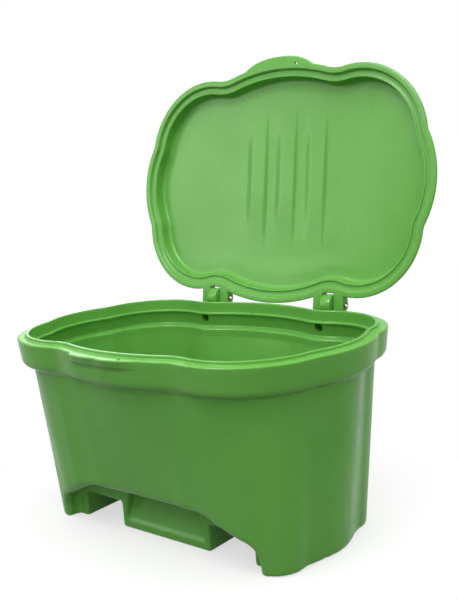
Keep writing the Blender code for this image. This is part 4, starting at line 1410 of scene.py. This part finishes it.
def green_plastic(finish):
    """Moulded plastic: clouded green with a fine grain and a satin sheen that wanders."""
    found = bpy.data.materials.get("moulded_green")
    if found:
        return found
    material, tree, shader, place = shader_tree("moulded_green", finish.gloss)
    shader.inputs["Specular IOR Level"].default_value = finish.sheen
    clouds = mapped(tree, noise(tree, place, scale=5.0, detail=4.0), low=0.0, high=1.0)
    green = blended(tree, clouds, opaque(finish.green), opaque(finish.pale_green))
    grain = noise(tree, place, scale=520.0, detail=1.0)
    specks = mapped(tree, grain, low=0.0, high=0.35, start=0.45, end=0.75)
    specked = blended(tree, specks, green, opaque(finish.green, SPECK_SHADE))
    tree.feed(shader.inputs["Base Color"], specked)
    wander = noise(tree, place, scale=14.0, detail=5.0)
    tree.feed(shader.inputs["Roughness"], mapped(tree, wander, finish.gloss, finish.satin))
    waves = Bump(scale=26.0, strength=0.06, distance=0.0010)
    pores = Bump(scale=420.0, strength=0.06, distance=0.0004)
    bumped(tree, shader, place, waves, pores)
    return material


def zinc_steel(finish):
    """Bright zinc with faint dull patches."""
    found = bpy.data.materials.get("bright_zinc")
    if found:
        return found
    material, tree, shader, place = shader_tree("bright_zinc", roughness=0.3, metallic=1.0)
    patches = mapped(tree, noise(tree, place, scale=160.0, detail=4.0), low=0.0, high=1.0)
    patchy = blended(tree, patches, opaque(finish.zinc), opaque(finish.zinc, DULL_SHADE))
    tree.feed(shader.inputs["Base Color"], patchy)
    wander = noise(tree, place, scale=300.0)
    tree.feed(shader.inputs["Roughness"], mapped(tree, wander, low=0.22, high=0.42))
    bumped(tree, shader, place, Bump(scale=1500.0, strength=0.12, distance=0.0002))
    return material


def black_steel(finish):
    """Black oxide, a little worn."""
    found = bpy.data.materials.get("black_oxide")
    if found:
        return found
    material, tree, shader, place = shader_tree("black_oxide", roughness=0.45, metallic=0.6)
    wear = noise(tree, place, scale=240.0, detail=4.0)
    patches = mapped(tree, wear, low=0.0, high=0.6, start=0.5, end=0.8)
    patchy = blended(tree, patches, opaque(finish.black), opaque(finish.black, WORN_SHADE))
    tree.feed(shader.inputs["Base Color"], patchy)
    wander = noise(tree, place, scale=350.0)
    tree.feed(shader.inputs["Roughness"], mapped(tree, wander, low=0.36, high=0.55))
    bumped(tree, shader, place, Bump(scale=1200.0, strength=0.15, distance=0.0002))
    return material


def direction(turn, rise):
    """Unit vector towards a place turned from the front and raised above level."""
    return Vector((math.sin(turn) * math.cos(rise), -math.cos(turn) * math.cos(rise), math.sin(rise)))


def seen_directly(tree):
    """One for rays from the camera, and for what shows in gloss or through glass."""
    path = tree.add("ShaderNodeLightPath").outputs
    mirrored = tree.math("MAXIMUM", path["Is Glossy Ray"], path["Is Transmission Ray"])
    return tree.math("MAXIMUM", path["Is Camera Ray"], mirrored)


class GRITBIN_OT_tub(bpy.types.Operator):
    """Build the moulded tub"""

    bl_idname = "gritbin.tub"
    bl_label = "Tub"

    def execute(self, context):
        settings = context.scene
        outline = rim_curve("tub_outline", settings)
        green = green_plastic(settings.grit_finish)
        tub = settings.grit_tub
        band_bottom = tub.rim_height - tub.band_height
        fill = (band_bottom, band_bottom - tub.step_drop)
        shell = swept("tub_shell", outline, tub_profile(settings), green, fill=fill)
        combine(shell, "UNION", hinge_bosses(settings))
        combine(shell, "DIFFERENCE", tub_holes(settings))
        join_base(settings, shell)
        shell.data.materials.clear()
        shell.data.materials.append(green)
        hand_over(shell, "tub_body", "green_plastic", "tub")
        return {"FINISHED"}


class GRITBIN_OT_lid(bpy.types.Operator):
    """Build the domed lid with its ribs and ears, and set it open"""

    bl_idname = "gritbin.lid"
    bl_label = "Lid"

    def execute(self, context):
        settings = context.scene
        lid = settings.grit_lid
        outline = rim_curve("lid_outline", settings, lid_grip)
        green = green_plastic(settings.grit_finish)
        shell = swept("lid_shell", outline, lid_profile(settings), green)
        bm = bmesh.new()
        bm.from_mesh(shell.data)
        for height in panel_edges(settings):
            add_panel(bm, settings, height)
        bmesh.ops.recalc_face_normals(bm, faces=bm.faces)
        bm.to_mesh(shell.data)
        bm.free()
        ribs = {label: getattr(lid, "rib_" + label.lower().replace(" ", "_")) for label in RIB_SIZES}
        run_tree(shell, rib_tree(), {**ribs, "Material": green})
        bake(shell)
        combine(shell, "UNION", lid_ears(settings))
        combine(shell, "DIFFERENCE", lid_holes(settings))
        shell.data.materials.clear()
        shell.data.materials.append(green)
        shell.data.transform(OPEN_LID)
        hand_over(shell, "lid_body", "green_plastic", "lid")
        return {"FINISHED"}


class GRITBIN_OT_tongues(bpy.types.Operator):
    """Build the two hinge tongues"""

    bl_idname = "gritbin.tongues"
    bl_label = "Hinge tongues"

    def execute(self, context):
        settings = context.scene
        hinge = settings.grit_hinge
        spans = valley_spans(settings.grit_plan, hinge.tongue_width / 2)
        green = green_plastic(settings.grit_finish)
        tongues = plates("hinge_tongues", tongue_outline(settings), spans, hinge.edge, green)
        combine(tongues, "DIFFERENCE", tongue_holes(settings))
        hand_over(tongues, "tub_body", "green_plastic", "hinge_tongue_left", "hinge_tongue_right")
        return {"FINISHED"}


class GRITBIN_OT_pins(bpy.types.Operator):
    """Build the hinge pins and their push-on retainers"""

    bl_idname = "gritbin.pins"
    bl_label = "Hinge pins"

    def execute(self, context):
        settings = context.scene
        hinge = settings.grit_hinge
        length = pair_places("hinge_pin", 0)[2]
        chamfer = hinge.pin_radius / 4
        pin = [
            (hinge.pin_head_radius, 0.0, chamfer),
            (hinge.pin_head_radius, hinge.pin_head, chamfer / 2),
            (hinge.pin_radius, hinge.pin_head, 0.0),
            (hinge.pin_radius, length, chamfer),
        ]
        pins = turned_pair("hinge_pins", "hinge_pin", 0, pin, zinc_steel(settings.grit_finish))
        hand_over(pins, "lid_body", "zinc_steel", "hinge_pin_left", "hinge_pin_right")
        bore = hinge.pin_radius + hinge.clearance
        retainer = ring_steps(bore, hinge.retainer_radius, hinge.retainer_thick, chamfer / 2)
        black = black_steel(settings.grit_finish)
        retainers = turned_pair("pin_retainers", "pin_retainer", 0, retainer, black)
        hand_over(retainers, "lid_body", "black_steel", "pin_retainer_left", "pin_retainer_right")
        return {"FINISHED"}


class GRITBIN_OT_bolts(bpy.types.Operator):
    """Build the bolts, washers and nuts that hold the tongues"""

    bl_idname = "gritbin.bolts"
    bl_label = "Tongue bolts"

    def execute(self, context):
        settings = context.scene
        hinge = settings.grit_hinge
        zinc = zinc_steel(settings.grit_finish)
        black = black_steel(settings.grit_finish)
        corner = hinge.across_flats / math.sqrt(3)
        chamfer = hinge.bolt_radius / 5
        bore = hinge.bolt_radius + hinge.clearance
        length = pair_places("tongue_bolt", 1)[2]
        under_head = length - hinge.bolt_head
        shank = [(hinge.bolt_radius, 0.0, chamfer), (hinge.bolt_radius, under_head, 0.0)]
        head = [(corner, under_head, chamfer / 4), (corner, length, chamfer)]
        bolts = turned_pair("tongue_bolts", "tongue_bolt", 1, shank, zinc)
        heads = turned_pair("bolt_heads", "tongue_bolt", 1, head, zinc, sides=HEX_SIDES)
        combine(bolts, "UNION", heads)
        hand_over(bolts, "tub_body", "zinc_steel", "tongue_bolt_left", "tongue_bolt_right")
        for name, radius in (
            ("outer_washer", hinge.outer_washer_radius),
            ("inner_washer", hinge.inner_washer_radius),
        ):
            steps = ring_steps(bore, radius, hinge.washer_thick, chamfer / 3)
            washers = turned_pair(name + "s", name, 1, steps, zinc)
            hand_over(washers, "tub_body", "zinc_steel", name + "_left", name + "_right")
        nut = [(corner, 0.0, chamfer), (corner, hinge.nut_thick, chamfer)]
        nuts = turned_pair("tongue_nuts", "tongue_nut", 1, nut, black, sides=HEX_SIDES)
        hole = [(bore, -hinge.nut_thick, 0.0), (bore, 2 * hinge.nut_thick, 0.0)]
        combine(nuts, "DIFFERENCE", turned_pair("nut_holes", "tongue_nut", 1, hole, black))
        hand_over(nuts, "tub_body", "black_steel", "tongue_nut_left", "tongue_nut_right")
        return {"FINISHED"}


class GRITBIN_OT_stage(bpy.types.Operator):
    """Set up the floor, the lights and the camera"""

    bl_idname = "gritbin.stage"
    bl_label = "Stage"

    def execute(self, context):
        scene = context.scene
        studio = scene.grit_studio
        self.floor(context, studio)
        self.lights(context, studio)
        self.camera(context, studio)
        scene.view_settings.view_transform = "Standard"
        return {"FINISHED"}

    def floor(self, context, studio):
        """A pale floor that turns to plain white away from the bin."""
        bm = bmesh.new()
        bmesh.ops.create_circle(bm, cap_ends=True, segments=FLOOR_SIDES, radius=FLOOR_RADIUS)
        material, tree, near, place = shader_tree("pale_floor", FLOOR_ROUGHNESS)
        near.inputs["Base Color"].default_value = opaque(studio.floor_colour)
        near.inputs["Specular IOR Level"].default_value = 0.0
        away = tree.add("ShaderNodeVectorMath", {0: place}, operation="LENGTH").outputs["Value"]
        far = tree.eased(away, studio.floor_near, studio.floor_far, studio.floor_white)
        white = tree.add("ShaderNodeEmission", {"Color": WHITE, "Strength": 1.0})
        shown = tree.add("ShaderNodeMixShader", {0: far, 1: near.outputs[0], 2: white.outputs[0]})
        bounce = tree.add("ShaderNodeBsdfDiffuse", {"Color": opaque(studio.bounce_colour)})
        mix = tree.add("ShaderNodeMixShader", {1: bounce.outputs[0], 2: shown.outputs[0]})
        tree.feed(mix.inputs[0], seen_directly(tree))
        tree.feed(tree.tree.nodes["Material Output"].inputs["Surface"], mix.outputs[0])
        floor = from_bmesh("floor", bm, material)
        floor.location.z = -studio.floor_gap

    def lights(self, context, studio):
        """Four soft lamps, three that only show in gloss, and even light from all round."""
        target = Vector(studio.target)
        for lamp in LAMPS:
            light = bpy.data.lights.new(lamp.name, "AREA")
            light.energy = getattr(studio, lamp.power)
            light.size = lamp.extent
            towards = direction(math.radians(lamp.turn), math.radians(lamp.rise))
            thing = add_object(lamp.name, light)
            thing.location = target + towards * lamp.distance
            thing.rotation_euler = (-towards).to_track_quat("-Z", "Y").to_euler()
            thing.visible_diffuse = lamp.lights
        world = bpy.data.worlds.new("even_light")
        world.use_nodes = True
        tree = Tree(world.node_tree)
        even = world.node_tree.nodes["Background"]
        even.inputs["Color"].default_value = WHITE
        even.inputs["Strength"].default_value = studio.world_strength
        white = tree.add("ShaderNodeBackground", {"Color": WHITE, "Strength": 1.0})
        mix = tree.add("ShaderNodeMixShader", {1: even.outputs[0], 2: white.outputs[0]})
        tree.feed(mix.inputs[0], seen_directly(tree))
        tree.feed(world.node_tree.nodes["World Output"].inputs["Surface"], mix.outputs[0])
        context.scene.world = world

    def camera(self, context, studio):
        lens = bpy.data.cameras.new("camera")
        lens.sensor_fit = "VERTICAL"
        lens.sensor_height = SENSOR_HEIGHT
        lens.lens = studio.focal_length
        lens.shift_x = studio.shift_x
        lens.shift_y = studio.shift_y
        back = direction(studio.azimuth, studio.elevation)
        right = Vector((math.cos(studio.azimuth), math.sin(studio.azimuth), 0.0))
        up = back.cross(right)
        tilt = Matrix.Rotation(-studio.roll, 3, "Z")
        axes = Matrix((right, up, back)).transposed() @ tilt
        place = Vector(studio.target) + back * studio.distance
        camera = add_object("camera", lens)
        camera.matrix_world = Matrix.Translation(place) @ axes.to_4x4()
        context.scene.camera = camera


class GRITBIN_PT_panel(bpy.types.Panel):
    """Lists what the bin is built from"""

    bl_label = "Grit Bin"
    bl_idname = "GRITBIN_PT_panel"
    bl_space_type = "VIEW_3D"
    bl_region_type = "UI"
    bl_category = "Grit Bin"

    def draw(self, context):
        for operator in OPERATORS:
            self.layout.operator(operator.bl_idname)
        for name in GROUPS:
            group = getattr(context.scene, name)
            column = self.layout.column(align=True)
            column.label(text=group.bl_rna.description or name)
            for key in group.bl_rna.properties.keys():
                if key not in ("rna_type", "name"):
                    column.prop(group, key)


GROUPS = {
    "grit_plan": GritBinPlan,
    "grit_tub": GritBinTub,
    "grit_base": GritBinBase,
    "grit_lid": GritBinLid,
    "grit_hinge": GritBinHinge,
    "grit_finish": GritBinFinish,
    "grit_studio": GritBinStudio,
}
OPERATORS = (
    GRITBIN_OT_stage,
    GRITBIN_OT_tub,
    GRITBIN_OT_lid,
    GRITBIN_OT_tongues,
    GRITBIN_OT_pins,
    GRITBIN_OT_bolts,
)
CLASSES = (*GROUPS.values(), *OPERATORS, GRITBIN_PT_panel)


def register():
    for item in CLASSES:
        bpy.utils.register_class(item)
    for name, group in GROUPS.items():
        setattr(bpy.types.Scene, name, PointerProperty(type=group))


def unregister():
    for name in GROUPS:
        delattr(bpy.types.Scene, name)
    for item in reversed(CLASSES):
        bpy.utils.unregister_class(item)


def main():
    register()
    bpy.ops.gritbin.stage()
    bpy.ops.gritbin.tub()
    bpy.ops.gritbin.lid()
    bpy.ops.gritbin.tongues()
    bpy.ops.gritbin.pins()
    bpy.ops.gritbin.bolts()


if __name__ == "__main__":
    main()
